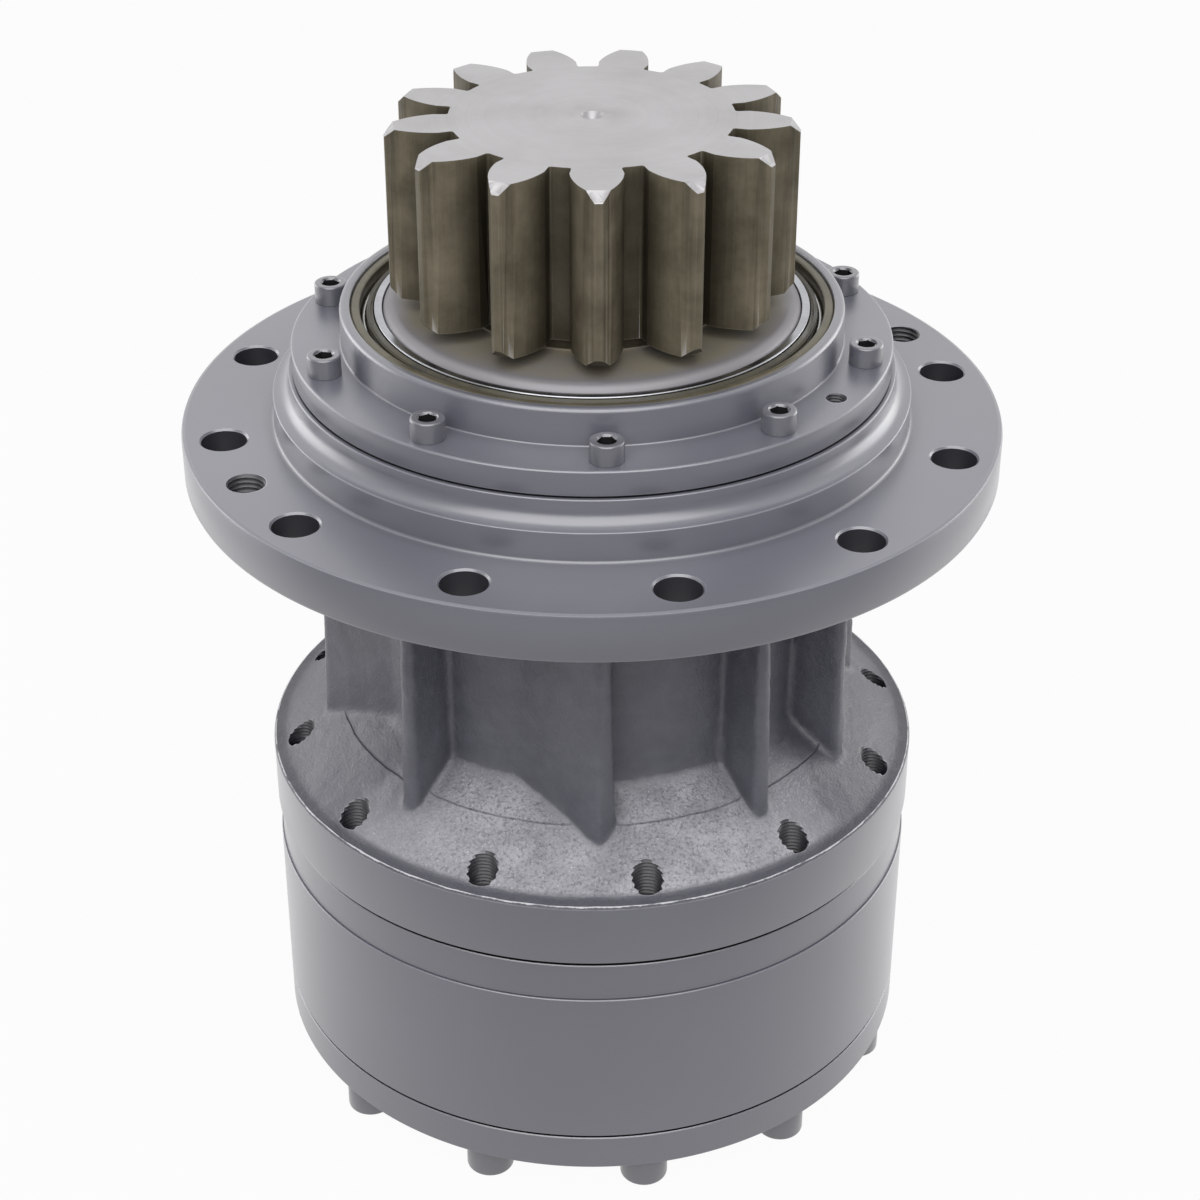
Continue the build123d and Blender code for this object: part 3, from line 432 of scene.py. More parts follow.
@dataclass
class NodeSheet:
    """A node tree that is filled in one call a node."""

    tree: bpy.types.NodeTree

    def give(self, target: Socket, value: Any) -> None:
        """Link a socket to an input, or write a plain value there.

        Args:
            target: The input.
            value: Socket, number, vector or colour.
        """
        if isinstance(value, Socket):
            self.tree.links.new(value, target)
        else:
            target.default_value = value

    def put(self, kind: str, inputs: dict[str | int, Any] | None = None, **settings: Any) -> bpy.types.Node:
        """Add a node.

        Args:
            kind: Blender's name of the node's type.
            inputs: Values or sockets by the name or number of the input.
            settings: Properties of the node.

        Returns:
            The node.
        """
        node = self.tree.nodes.new(kind)
        for key, value in settings.items():
            setattr(node, key, value)
        for key, value in (inputs or {}).items():
            self.give(node.inputs[key], value)
        return node

    def math(self, operation: str, first: Any, second: Any = 0.0, clamp: bool = False) -> Socket:
        """One step of arithmetic, as a socket."""
        node = self.put("ShaderNodeMath", {0: first, 1: second}, operation=operation, use_clamp=clamp)
        return node.outputs[0]

    def times(self, first: Any, second: Any, clamp: bool = False) -> Socket:
        """Product of two values, as a socket."""
        return self.math("MULTIPLY", first, second, clamp)

    def plus(self, first: Any, second: Any) -> Socket:
        """Sum of two values, as a socket."""
        return self.math("ADD", first, second)

    def minus(self, first: Any, second: Any) -> Socket:
        """Difference of two values, as a socket."""
        return self.math("SUBTRACT", first, second)

    def most(self, first: Any, second: Any) -> Socket:
        """Larger one of two values, as a socket."""
        return self.math("MAXIMUM", first, second)

    def span(self, value: Any, low: Any, high: Any, start: float = 0.0, end: float = 1.0) -> Socket:
        """Map low..high to start..end, clamped, as a socket."""
        node = self.put("ShaderNodeMapRange", {"Value": value, "From Min": low, "From Max": high,
                                               "To Min": start, "To Max": end})
        return node.outputs["Result"]

    def blend(self, share: Any, first: Any, second: Any) -> Socket:
        """Mix two colours, as a socket."""
        pair = [(*value, 1.0) if isinstance(value, tuple) else value for value in (first, second)]
        return self.put("ShaderNodeMix", {0: share, 6: pair[0], 7: pair[1]}, data_type="RGBA").outputs[2]

    def place(self) -> Socket:
        """Object coordinates, as a socket."""
        return self.put("ShaderNodeTexCoord").outputs["Object"]

    def axes(self, vector: Any = None) -> Any:
        """X, Y and Z of a vector, or of the object coordinates, as sockets by name."""
        whole = self.place() if vector is None else vector
        return self.put("ShaderNodeSeparateXYZ", {"Vector": whole}).outputs

    def upright(self) -> Socket:
        """Vertical part of the surface's normal, as a socket."""
        return self.axes(self.put("ShaderNodeNewGeometry").outputs["Normal"])["Z"]

    def noise(self, scale: Any, detail: float = 4.0, rough: float = 0.5, at: Any = None) -> Socket:
        """Noise over the object's coordinates or other ones, as a socket."""
        where = self.place() if at is None else at
        return self.put("ShaderNodeTexNoise", {"Vector": where, "Scale": scale, "Detail": detail,
                                               "Roughness": rough}).outputs["Fac"]

    def mirrored(self) -> tuple[Any, Socket]:
        """Light Path's sockets, and a mask of the rays that gloss and glass send out."""
        path = self.put("ShaderNodeLightPath").outputs
        return path, self.most(path["Is Glossy Ray"], path["Is Transmission Ray"])


@dataclass(frozen=True)
class SharedGroup:
    """A shader node group with named sockets, built once and used by several finishes."""

    name: str
    inputs: tuple[tuple[str, float], ...]
    outputs: tuple[str, ...]
    fill: Callable[[NodeSheet, Any, Any], None]

    def tree(self) -> bpy.types.NodeTree:
        """The group's tree, built at its first use.

        Returns:
            The node group.
        """
        made = bpy.data.node_groups.get(self.name)
        if made:
            return made
        made = bpy.data.node_groups.new(self.name, "ShaderNodeTree")
        for name, value in self.inputs:
            socket = made.interface.new_socket(name=name, in_out="INPUT", socket_type="NodeSocketFloat")
            socket.default_value = value
        for name in self.outputs:
            made.interface.new_socket(name=name, in_out="OUTPUT", socket_type="NodeSocketFloat")
        sheet = NodeSheet(made)
        source = sheet.put("NodeGroupInput")
        target = sheet.put("NodeGroupOutput")
        self.fill(sheet, source.outputs, target.inputs)
        return made

    def use(self, sheet: NodeSheet, **values: Any) -> Any:
        """Place the group in a material with its own values, and hand out its output sockets."""
        return sheet.put("ShaderNodeGroup", values, node_tree=self.tree()).outputs


def fill_edge_wear_and_highlight(sheet: NodeSheet, source: Any, target: Any) -> None:
    """Mask of edges and corners for painted highlights and paint wear: where a rounded normal leaves the
    real one, broken up by noise.

    Args:
        sheet: The group's nodes.
        source: Its inputs by name.
        target: Its outputs by name.
    """
    rounded = sheet.put("ShaderNodeBevel", {"Radius": source["Width"]}, samples=4).outputs["Normal"]
    real = sheet.put("ShaderNodeNewGeometry").outputs["Normal"]
    along = sheet.put("ShaderNodeVectorMath", {0: rounded, 1: real}, operation="DOT_PRODUCT")
    turned_away = sheet.span(along.outputs["Value"], 0.995, 0.80)
    breaks = sheet.span(sheet.noise(source["Scale"], 5.0, 0.65), 0.35, 0.62)
    patchy = sheet.times(source["Patchy"], sheet.minus(1.0, breaks))
    sheet.give(target["Mask"], sheet.times(turned_away, sheet.minus(1.0, patchy), clamp=True))


def fill_cast_grain(sheet: NodeSheet, source: Any, target: Any) -> None:
    """Sand-cast skin: small round grains over slow lumps, with a mask of painted glints and pits.

    Args:
        sheet: The group's nodes.
        source: Its inputs by name.
        target: Its outputs by name.
    """
    scale = source["Scale"]
    cells = sheet.put("ShaderNodeTexVoronoi", {"Vector": sheet.place(), "Scale": scale},
                      feature="SMOOTH_F1")
    grains = sheet.span(cells.outputs["Distance"], 0.0, 0.75, 1.0, 0.0)
    fine = sheet.noise(sheet.times(scale, 1.9), 6.0, 0.7)
    lumps = sheet.noise(sheet.times(scale, 0.12), 3.0, 0.5)
    height = sheet.plus(sheet.times(grains, 0.5), sheet.times(fine, 0.6))
    sheet.give(target["Height"], sheet.plus(height, sheet.times(lumps, 0.8)))
    # Painted glints: bright spots on the grains, where they would catch the light.
    sheet.give(target["Glint"], sheet.span(sheet.times(grains, fine), 0.36, 0.50))
    hollows = sheet.noise(sheet.times(scale, 0.8), 3.0, 0.6)
    sheet.give(target["Pits"], sheet.span(hollows, 0.52, 0.34))


def fill_tool_marks(sheet: NodeSheet, source: Any, target: Any) -> None:
    """Marks of a lathe tool: bands that change with radius and height and stay the same all round.

    Args:
        sheet: The group's nodes.
        source: Its inputs by name.
        target: Its outputs by name.
    """
    axes = sheet.axes()
    squares = [sheet.times(axes[name], axes[name]) for name in "XY"]
    radius = sheet.math("SQRT", sheet.plus(*squares))
    spot = sheet.put("ShaderNodeCombineXYZ", {"X": radius, "Y": axes["Z"]}).outputs["Vector"]
    sheet.give(target["Height"], sheet.noise(source["Scale"], 3.0, 0.75, spot))
    sheet.give(target["Radius"], radius)


def fill_corner_shade(sheet: NodeSheet, source: Any, target: Any) -> None:
    """Mask of inner corners, for painted shade where they are closed in.

    Args:
        sheet: The group's nodes.
        source: Its inputs by name.
        target: Its outputs by name.
    """
    shade = sheet.put("ShaderNodeAmbientOcclusion", {"Distance": source["Reach"]}, samples=4,
                      only_local=True)
    sheet.give(target["Mask"], sheet.span(shade.outputs["AO"], 0.35, 0.95, 1.0, 0.0))


def fill_drawn_streaks(sheet: NodeSheet, source: Any, target: Any) -> None:
    """Streaks along the main axis, as a hob or a grinding wheel leaves on straight teeth.

    Args:
        sheet: The group's nodes.
        source: Its inputs by name.
        target: Its outputs by name.
    """
    stretch = sheet.put("ShaderNodeMapping", {"Vector": sheet.place(), "Scale": (1.0, 1.0, 0.05)})
    sheet.give(target["Height"], sheet.noise(source["Scale"], 4.0, 0.6, stretch.outputs["Vector"]))
    clouds = sheet.noise(sheet.times(source["Scale"], 0.05), 5.0, 0.6)
    sheet.give(target["Clouds"], sheet.span(clouds, 0.3, 0.7))


EDGE_WEAR_AND_HIGHLIGHT = SharedGroup("edge_wear_and_highlight", (("Width", 0.0008), ("Scale", 300.0), ("Patchy", 0.3)), ("Mask",),
                        fill_edge_wear_and_highlight)
CAST_GRAIN = SharedGroup("cast_grain", (("Scale", 700.0),), ("Height", "Glint", "Pits"), fill_cast_grain)
TOOL_MARKS = SharedGroup("tool_marks", (("Scale", 900.0),), ("Height", "Radius"), fill_tool_marks)
CORNER_SHADE = SharedGroup("painted_corner_shade", (("Reach", 0.006),), ("Mask",), fill_corner_shade)
DRAWN_STREAKS = SharedGroup("drawn_streaks", (("Scale", 900.0),), ("Height", "Clouds"),
                            fill_drawn_streaks)


@dataclass
class Coating:
    """A node material in the making: its nodes and its shader."""

    name: str
    material: Material = field(init=False)
    sheet: NodeSheet = field(init=False)
    shader: bpy.types.Node = field(init=False)

    def __post_init__(self) -> None:
        """Start the material."""
        self.material = bpy.data.materials.new(self.name)
        self.material.use_nodes = True
        self.sheet = NodeSheet(self.material.node_tree)
        self.shader = self.material.node_tree.nodes["Principled BSDF"]

    def finished(self, colour: Any, rough: Any, height: Any, depth_mm: float, **others: Any) -> Material:
        """Link what changes over the surface, and write what doesn't.

        Args:
            colour: Socket with the colour.
            rough: Socket with the roughness.
            height: Socket with the surface's height, 0 to about 1.
            depth_mm: What a height of 1 is, in mm.
            others: What the shader's other sockets get, with _ for a space in their names.

        Returns:
            The material.
        """
        bump = self.sheet.put("ShaderNodeBump", {"Height": height, "Distance": depth_mm * MM,
                                                 "Strength": 1.0})
        values = {"Base Color": colour, "Roughness": rough, "Normal": bump.outputs["Normal"]}
        values.update({key.replace("_", " "): value for key, value in others.items()})
        for key, value in values.items():
            self.sheet.give(self.shader.inputs[key], value)
        return self.material


@dataclass(frozen=True)
class Paint:
    """Satin paint over a turned face: faint tool marks, painted shade in the corners and thin painted
    highlights, partly paint wear, on the edges.
    """

    name: str
    colour: Colour = (0.117, 0.118, 0.147)
    edge_wear_and_highlight_colour: Colour = (0.52, 0.52, 0.58)
    corner_shade_colour: Colour = (0.045, 0.045, 0.057)
    roughness: float = 0.35
    edge_width: float = 0.7
    mark_depth: float = 0.012
    gloss_index: float = 1.95
    coat: float = 0.9

    def material(self) -> Material:
        """Build the paint.

        Returns:
            The material.
        """
        coating = Coating(self.name)
        sheet = coating.sheet
        marks = TOOL_MARKS.use(sheet, Scale=700.0)
        edges = EDGE_WEAR_AND_HIGHLIGHT.use(sheet, Width=self.edge_width * MM, Scale=260.0, Patchy=0.25)["Mask"]
        corners = CORNER_SHADE.use(sheet, Reach=0.008)["Mask"]
        cloud = sheet.span(sheet.noise(9.0, 3.0), 0.3, 0.7)
        body = sheet.blend(cloud, self.colour, tuple(part * 1.16 for part in self.colour))
        # Painted shade: inner corners darkened by the ambient occlusion mask.
        body = sheet.blend(sheet.times(corners, 0.55), body, self.corner_shade_colour)
        # Painted highlight, partly paint wear: edges lightened by the bevel mask.
        body = sheet.blend(sheet.times(edges, 0.75), body, self.edge_wear_and_highlight_colour)
        grain = sheet.noise(1500.0, 3.0, 0.6)
        rough = sheet.span(grain, 0.2, 0.8, self.roughness - 0.05, self.roughness + 0.08)
        height = sheet.plus(marks["Height"], sheet.times(grain, 0.35))
        return coating.finished(body, rough, height, self.mark_depth, IOR=self.gloss_index,
                                Coat_IOR=1.65, Coat_Weight=self.coat, Coat_Roughness=0.28)


@dataclass(frozen=True)
class CastPaint:
    """The same paint over a sand-cast skin, with painted glints on its grains, painted light on the front
    stretch of its dome and painted shade in its corners.
    """

    name: str
    colour: Colour = (0.110, 0.113, 0.138)
    top_colour: Colour = (0.098, 0.098, 0.122)
    painted_lit_colour: Colour = (0.64, 0.64, 0.69)
    pit_colour: Colour = (0.15, 0.15, 0.18)
    mottle_colour: Colour = (0.185, 0.188, 0.222)
    ledge_colour: Colour = (0.095, 0.096, 0.118)
    glint_colour: Colour = (0.92, 0.92, 0.95)
    chip_colour: Colour = (0.80, 0.80, 0.83)
    corner_shade_colour: Colour = (0.030, 0.031, 0.040)
    roughness: float = 0.32
    grain_depth: float = 1.25
    parting_radius: float = 130.0
    parting_width: float = 0.6
    parting_wander: float = 1.6
    ledge_radius: float = 159.0
    chip_radius: float = 165.3
    chip_height: float = 181.1
    chip_wander: float = 3.2
    lit_sector_angle: float = -88.0
    lit_sector_half: float = 42.0
    lit_sector_fade: float = 0.45

    def material(self) -> Material:
        """Build the cast paint.

        Returns:
            The material.
        """
        coating = Coating(self.name)
        sheet = coating.sheet
        grain = CAST_GRAIN.use(sheet, Scale=760.0)
        radius = TOOL_MARKS.use(sheet, Scale=700.0)["Radius"]
        edges = EDGE_WEAR_AND_HIGHLIGHT.use(sheet, Width=1.0 * MM, Scale=420.0, Patchy=0.8)["Mask"]
        corners = CORNER_SHADE.use(sheet, Reach=0.012)["Mask"]
        upward = sheet.times(sheet.span(sheet.upright(), 0.35, 0.8), sheet.minus(1.0, corners), clamp=True)
        # Front stretch of the dome: coarser grain, and painted light that makes it pale.
        lit_rugged = sheet.times(upward, self.lit_rough_sector(sheet))
        ledge = sheet.span(radius, (self.ledge_radius - 1.5) * MM, (self.ledge_radius + 0.5) * MM)
        parting = sheet.times(self.parting_line(sheet, radius), upward)
        mottle = sheet.span(sheet.noise(75.0, 6.0, 0.7), 0.38, 0.70, 0.0, 0.45)
        walls = sheet.blend(mottle, self.colour, self.mottle_colour)
        # Painted light: up-facing faces get a tone of their own, set apart from the walls by how light falls
        # on them.
        body = sheet.blend(upward, walls, self.top_colour)
        patches = sheet.span(sheet.noise(55.0, 4.0, 0.6), 0.35, 0.65, 0.0, 0.45)
        # Painted glints, mostly on the dome's painted-light front stretch.
        painted_glint = sheet.times(grain["Glint"], sheet.span(lit_rugged, 0.0, 1.0, 0.05, 1.0))
        for share, colour in (
                # Painted light: the front stretch's pale colour.
                (lit_rugged, self.painted_lit_colour),
                (sheet.times(lit_rugged, patches), self.pit_colour),
                (sheet.times(lit_rugged, sheet.times(grain["Pits"], 0.65)), self.pit_colour),
                # Painted glints on the grains.
                (painted_glint, self.glint_colour),
                (sheet.times(ledge, 0.90), self.ledge_colour),
                # Painted shade in inner corners.
                (sheet.times(corners, 0.8), self.corner_shade_colour),
                # The parting line's dip takes the same dark colour.
                (sheet.times(parting, 0.5), self.corner_shade_colour),
                # Painted highlight, partly paint wear, along the edges.
                (sheet.times(edges, 0.35), self.glint_colour),
                (self.chips(sheet, radius), self.chip_colour)):
            body = sheet.blend(share, body, colour)
        rough = sheet.span(grain["Glint"], 0.0, 1.0, self.roughness + 0.08, self.roughness - 0.12)
        bare = sheet.times(lit_rugged, sheet.minus(1.0, ledge), clamp=True)
        height = sheet.times(grain["Height"], sheet.span(bare, 0.0, 1.0, 0.22, 1.0))
        height = sheet.minus(height, sheet.times(parting, 0.5))
        return coating.finished(body, rough, height, self.grain_depth, IOR=1.75)

    def lit_rough_sector(self, sheet: NodeSheet) -> Socket:
        """Mask of the dome's front stretch, where the grain is coarser and the colour is painted lighter, as
        painted light from the front.

        Args:
            sheet: The material's nodes.

        Returns:
            Socket with the mask.
        """
        axes = sheet.axes()
        turn = sheet.math("ARCTAN2", axes["Y"], axes["X"])
        apart = sheet.math("ABSOLUTE", sheet.minus(turn, math.radians(self.lit_sector_angle)))
        ragged = sheet.plus(apart, sheet.times(sheet.noise(30.0, 4.0, 0.6), 0.5))
        half = math.radians(self.lit_sector_half)
        return sheet.span(ragged, half + self.lit_sector_fade, half)

    def parting_line(self, sheet: NodeSheet, radius: Socket) -> Socket:
        """Mask of the thin wandering line that the mould's parting left round the dome.

        Args:
            sheet: The material's nodes.
            radius: Socket with the distance from the main axis.

        Returns:
            Socket with the mask.
        """
        wander = sheet.times(sheet.minus(sheet.noise(45.0, 3.0), 0.5), self.parting_wander * MM)
        offset = sheet.minus(sheet.plus(radius, wander), self.parting_radius * MM)
        return sheet.span(sheet.math("ABSOLUTE", offset), 0.0, self.parting_width * MM, 1.0, 0.0)

    def chips(self, sheet: NodeSheet, radius: Socket) -> Socket:
        """Mask of the ragged bright line where paint is chipped off the rim's outer edge.

        Args:
            sheet: The material's nodes.
            radius: Socket with the distance from the main axis.

        Returns:
            Socket with the mask.
        """
        outer = sheet.span(radius, self.chip_radius * MM, (self.chip_radius + 0.2) * MM)
        ragged = sheet.times(sheet.minus(sheet.noise(95.0, 7.0, 0.72), 0.5), self.chip_wander * MM)
        crest = sheet.plus(sheet.axes()["Z"], ragged)
        return sheet.times(outer, sheet.span(crest, self.chip_height * MM, (self.chip_height + 0.3) * MM))


@dataclass(frozen=True)
class ToothSteel:
    """Bare steel of the output pinion: olive flanks with painted shade in the roots and painted highlights,
    partly wear, along the edges, a ground top and a polished collar.
    """

    name: str
    flank_dark: Colour = (0.070, 0.060, 0.039)
    flank_light: Colour = (0.240, 0.208, 0.149)
    root_shade_colour: Colour = (0.020, 0.017, 0.010)
    tip_wear_and_highlight_colour: Colour = (0.34, 0.32, 0.26)
    top_colour: Colour = (0.53, 0.52, 0.53)
    swirl_colour: Colour = (0.34, 0.33, 0.33)
    collar_colour: Colour = (0.29, 0.28, 0.295)
    stain_colour: Colour = (0.34, 0.305, 0.235)
    collar_height: float = 423.0
    stain_radius: float = 95.0
    smudge_radius: float = 26.0

    def material(self) -> Material:
        """Build the steel.

        Returns:
            The material.
        """
        coating = Coating(self.name)
        sheet = coating.sheet
        marks = TOOL_MARKS.use(sheet, Scale=520.0)
        streaks = DRAWN_STREAKS.use(sheet, Scale=900.0)
        stain = sheet.plus(sheet.times(streaks["Clouds"], 0.65), sheet.times(streaks["Height"], 0.35))
        collar = sheet.math("LESS_THAN", sheet.axes()["Z"], self.collar_height * MM)
        top = sheet.times(sheet.span(sheet.upright(), 0.35, 0.5), sheet.minus(1.0, collar))
        body = sheet.blend(top, self.flank(sheet, stain), self.ground_top(sheet, marks))
        oily = sheet.span(marks["Radius"], self.stain_radius * MM, (self.stain_radius - 8.0) * MM)
        oily = sheet.times(oily, sheet.plus(streaks["Clouds"], 0.35), clamp=True)
        body = sheet.blend(collar, body, sheet.blend(oily, self.collar_colour, self.stain_colour))
        bare = sheet.most(sheet.times(top, 0.65), sheet.times(collar, 0.40))
        rough = sheet.minus(sheet.span(stain, 0.2, 0.8, 0.54, 0.44), sheet.times(collar, 0.04))
        pattern = sheet.put("ShaderNodeMix", {0: sheet.most(top, collar), 2: streaks["Height"],
                                              3: marks["Height"]}, data_type="FLOAT")
        return coating.finished(body, rough, pattern.outputs[0], 0.03, Metallic=sheet.most(bare, 0.06),
                                IOR=1.3)

    def flank(self, sheet: NodeSheet, stain: Socket) -> Socket:
        """Colour of the teeth: stained, with painted shade at the roots and painted highlights, partly wear,
        at the edges.

        Args:
            sheet: The material's nodes.
            stain: Socket with the stain's share.

        Returns:
            Socket with the colour.
        """
        edges = EDGE_WEAR_AND_HIGHLIGHT.use(sheet, Width=0.9 * MM, Scale=500.0, Patchy=0.45)["Mask"]
        roots = CORNER_SHADE.use(sheet, Reach=0.024)["Mask"]
        flank = sheet.blend(stain, self.flank_dark, self.flank_light)
        flank = sheet.blend(sheet.times(roots, 0.9), flank, self.root_shade_colour)
        return sheet.blend(sheet.times(edges, 0.5), flank, self.tip_wear_and_highlight_colour)

    def ground_top(self, sheet: NodeSheet, marks: Any) -> Socket:
        """Colour of the pinion's ground top, smudged round its centre hole.

        Args:
            sheet: The material's nodes.
            marks: Outputs of the tool marks.

        Returns:
            Socket with the colour.
        """
        swirl = sheet.span(marks["Height"], 0.3, 0.7, 0.0, 0.14)
        cloudy = sheet.span(sheet.noise(28.0, 5.0, 0.55), 0.42, 0.70, 0.0, 0.30)
        smudge = sheet.span(marks["Radius"], 3.0 * MM, self.smudge_radius * MM, 0.75, 0.0)
        smudge = sheet.times(smudge, sheet.span(sheet.noise(60.0, 4.0), 0.30, 0.62))
        return sheet.blend(sheet.most(sheet.plus(swirl, cloudy), smudge), self.top_colour,
                           self.swirl_colour)


@dataclass(frozen=True)
class Metal:
    """Machined metal with turning or drawing marks and cloudy patches."""

    name: str
    colour: Colour
    roughness: float = 0.3
    mark_scale: float = 900.0
    mark_depth: float = 0.01
    metallic: float = 1.0
    stain: float = 0.15

    def material(self) -> Material:
        """Build the metal.

        Returns:
            The material.
        """
        coating = Coating(self.name)
        sheet = coating.sheet
        marks = TOOL_MARKS.use(sheet, Scale=self.mark_scale)["Height"]
        cloud = sheet.span(sheet.noise(45.0, 5.0, 0.6), 0.3, 0.7)
        body = sheet.blend(cloud, tuple(part * (1.0 - 2 * self.stain) for part in self.colour), self.colour)
        rough = sheet.span(marks, 0.2, 0.8, self.roughness - 0.05, self.roughness + 0.07)
        return coating.finished(body, rough, marks, self.mark_depth, Metallic=self.metallic)


@dataclass(frozen=True)
class Rubber:
    """Moulded rubber, matt, with a film of grease in patches."""

    name: str
    colour: Colour
    film_colour: Colour
    roughness: float = 0.5

    def material(self) -> Material:
        """Build the rubber.

        Returns:
            The material.
        """
        coating = Coating(self.name)
        sheet = coating.sheet
        film = sheet.span(sheet.noise(70.0, 5.0, 0.6), 0.42, 0.66)
        rough = sheet.span(film, 0.0, 1.0, self.roughness, self.roughness - 0.2)
        return coating.finished(sheet.blend(film, self.colour, self.film_colour), rough,
                                sheet.noise(1800.0, 3.0, 0.6), 0.02)


@dataclass
class FinishShelf:
    """Every finish by its slot in the record, each made once."""

    made: dict[Slot, Material] = field(default_factory=dict)
    inside: Material | None = None
    hole_shade: Material | None = None

    def fill(self) -> None:
        """Mix every finish."""
        for finish in (
                CastPaint("cast_paint"), Paint("machine_paint"),
                Paint("screw_paint", colour=(0.105, 0.106, 0.128), edge_width=0.3, roughness=0.30,
                      mark_depth=0.003),
                ToothSteel("pinion_steel"),
                Metal("polished_steel", (0.52, 0.53, 0.56), 0.20, 1400.0, 0.006),
                Metal("bearing_steel", (0.60, 0.60, 0.60), 0.18, 1600.0, 0.003),
                Metal("gear_steel", (0.42, 0.41, 0.39), 0.32),
                Metal("carrier_iron", (0.20, 0.20, 0.205), 0.42, 600.0, 0.02),
                Metal("seal_metal", (0.17, 0.152, 0.105), 0.32, 1200.0, 0.006, 0.35, 0.2),
                Rubber("seal_rubber", (0.060, 0.052, 0.030), (0.030, 0.027, 0.020), 0.40),
                Rubber("black_rubber", (0.012, 0.012, 0.013), (0.02, 0.02, 0.022)),
                Metal("bronze", (0.55, 0.38, 0.19), 0.33)):
            self.made[Slot(finish.name)] = finish.material()
        # Dark metal for the screw sockets, also laid as painted shadow in the drum's joint grooves and under
        # the seal cover's foot.
        self.inside = Metal("socket_black", (0.02, 0.02, 0.022), 0.5, 900.0, 0.01, 0.3).material()
        # Painted shade: near-black paint for the walls and threads of holes, with painted highlights on the
        # thread ridges.
        self.hole_shade = Paint("hole_paint", colour=(0.030, 0.030, 0.037), edge_wear_and_highlight_colour=(0.27, 0.27, 0.31),
                              corner_shade_colour=(0.008, 0.008, 0.010), roughness=0.45, edge_width=0.4,
                              gloss_index=1.6, coat=0.35).material()

    def dress_nodes(self) -> None:
        """Give every CAD node the finish of its slot."""
        for part in frame["record"]["subparts"]:
            node = frame["nodes"][part["node"]]
            material = self.made[Slot(part["material_slot"])]
            if not node.material_slots:
                node.data.materials.append(material)
            for place in node.material_slots:
                place.material = material

    def dress(self, piece: Piece, node: str, slot: Slot = Slot.MACHINE_PAINT,
              body: Body = Body.HOUSING) -> None:
        """Finish a new piece and seat it on its body.

        Args:
            piece: New piece at the origin.
            node: CAD node that it stands for.
            slot: Its finish.
            body: The body that it rides on.
        """
        if not piece.data.materials:
            piece.data.materials.append(self.made[slot])
        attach(piece, body.value)
        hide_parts(node)
        LOG.info("piece %s: %d faces", piece.name, len(piece.data.polygons))


# Threads and screws


@dataclass(frozen=True)
class Thread:
    """Metric thread, cut as a real helix. Sizes in mm."""

    major: float
    pitch: float
    depth: float = 0.56

    def minor(self) -> float:
        """Radius at the crests of an internal thread."""
        return self.major - self.depth * self.pitch

    def tap(self, low: float, high: float, sides: int = 28) -> Piece:
        """Cutter in the shape of a tap on the main axis.

        Args:
            low: Lower end in mm.
            high: Upper end in mm, passed by less than one turn.
            sides: Facets round one turn.

        Returns:
            The closed cutter.
        """
        clear_selection()
        bpy.ops.mesh.primitive_circle_add(vertices=3, radius=1.0, fill_type="NOTHING")
        piece = baked("tap")
        outline = ((self.minor(), low), (self.major, low + self.pitch / 2),
                   (self.minor(), low + self.pitch))
        for vertex, (radius, height) in zip(piece.data.vertices, outline):
            vertex.co = (radius * MM, 0.0, height * MM)
        crest = (self.minor() + self.major) / 2 * MM
        select_vertices(piece, lambda place: place.x < crest)
        bpy.ops.mesh.select_mode(type="EDGE")
        bpy.ops.mesh.delete(type="EDGE")
        turns = math.ceil((high - low) / self.pitch)
        apply_modifier(piece, "SCREW", angle=FULL_TURN, screw_offset=self.pitch * MM, iterations=turns,
                       steps=sides, render_steps=sides, axis="Z")
        edit(piece)
        bpy.ops.mesh.remove_doubles(threshold=WELD)
        bpy.ops.mesh.fill_holes(sides=0)
        close_seams(piece)
        return piece

    def on_wall(self, holes: HoleRing, place: Vector, normal: Vector) -> bool:
        """Whether a face belongs to such a thread in one of the holes, and isn't level.

        Args:
            holes: The threaded holes.
            place: The face's middle in metres.
            normal: The face's normal.

        Returns:
            True on the thread.
        """
        return holes.off(place) < self.major + 0.1 and abs(normal.z) < 0.95


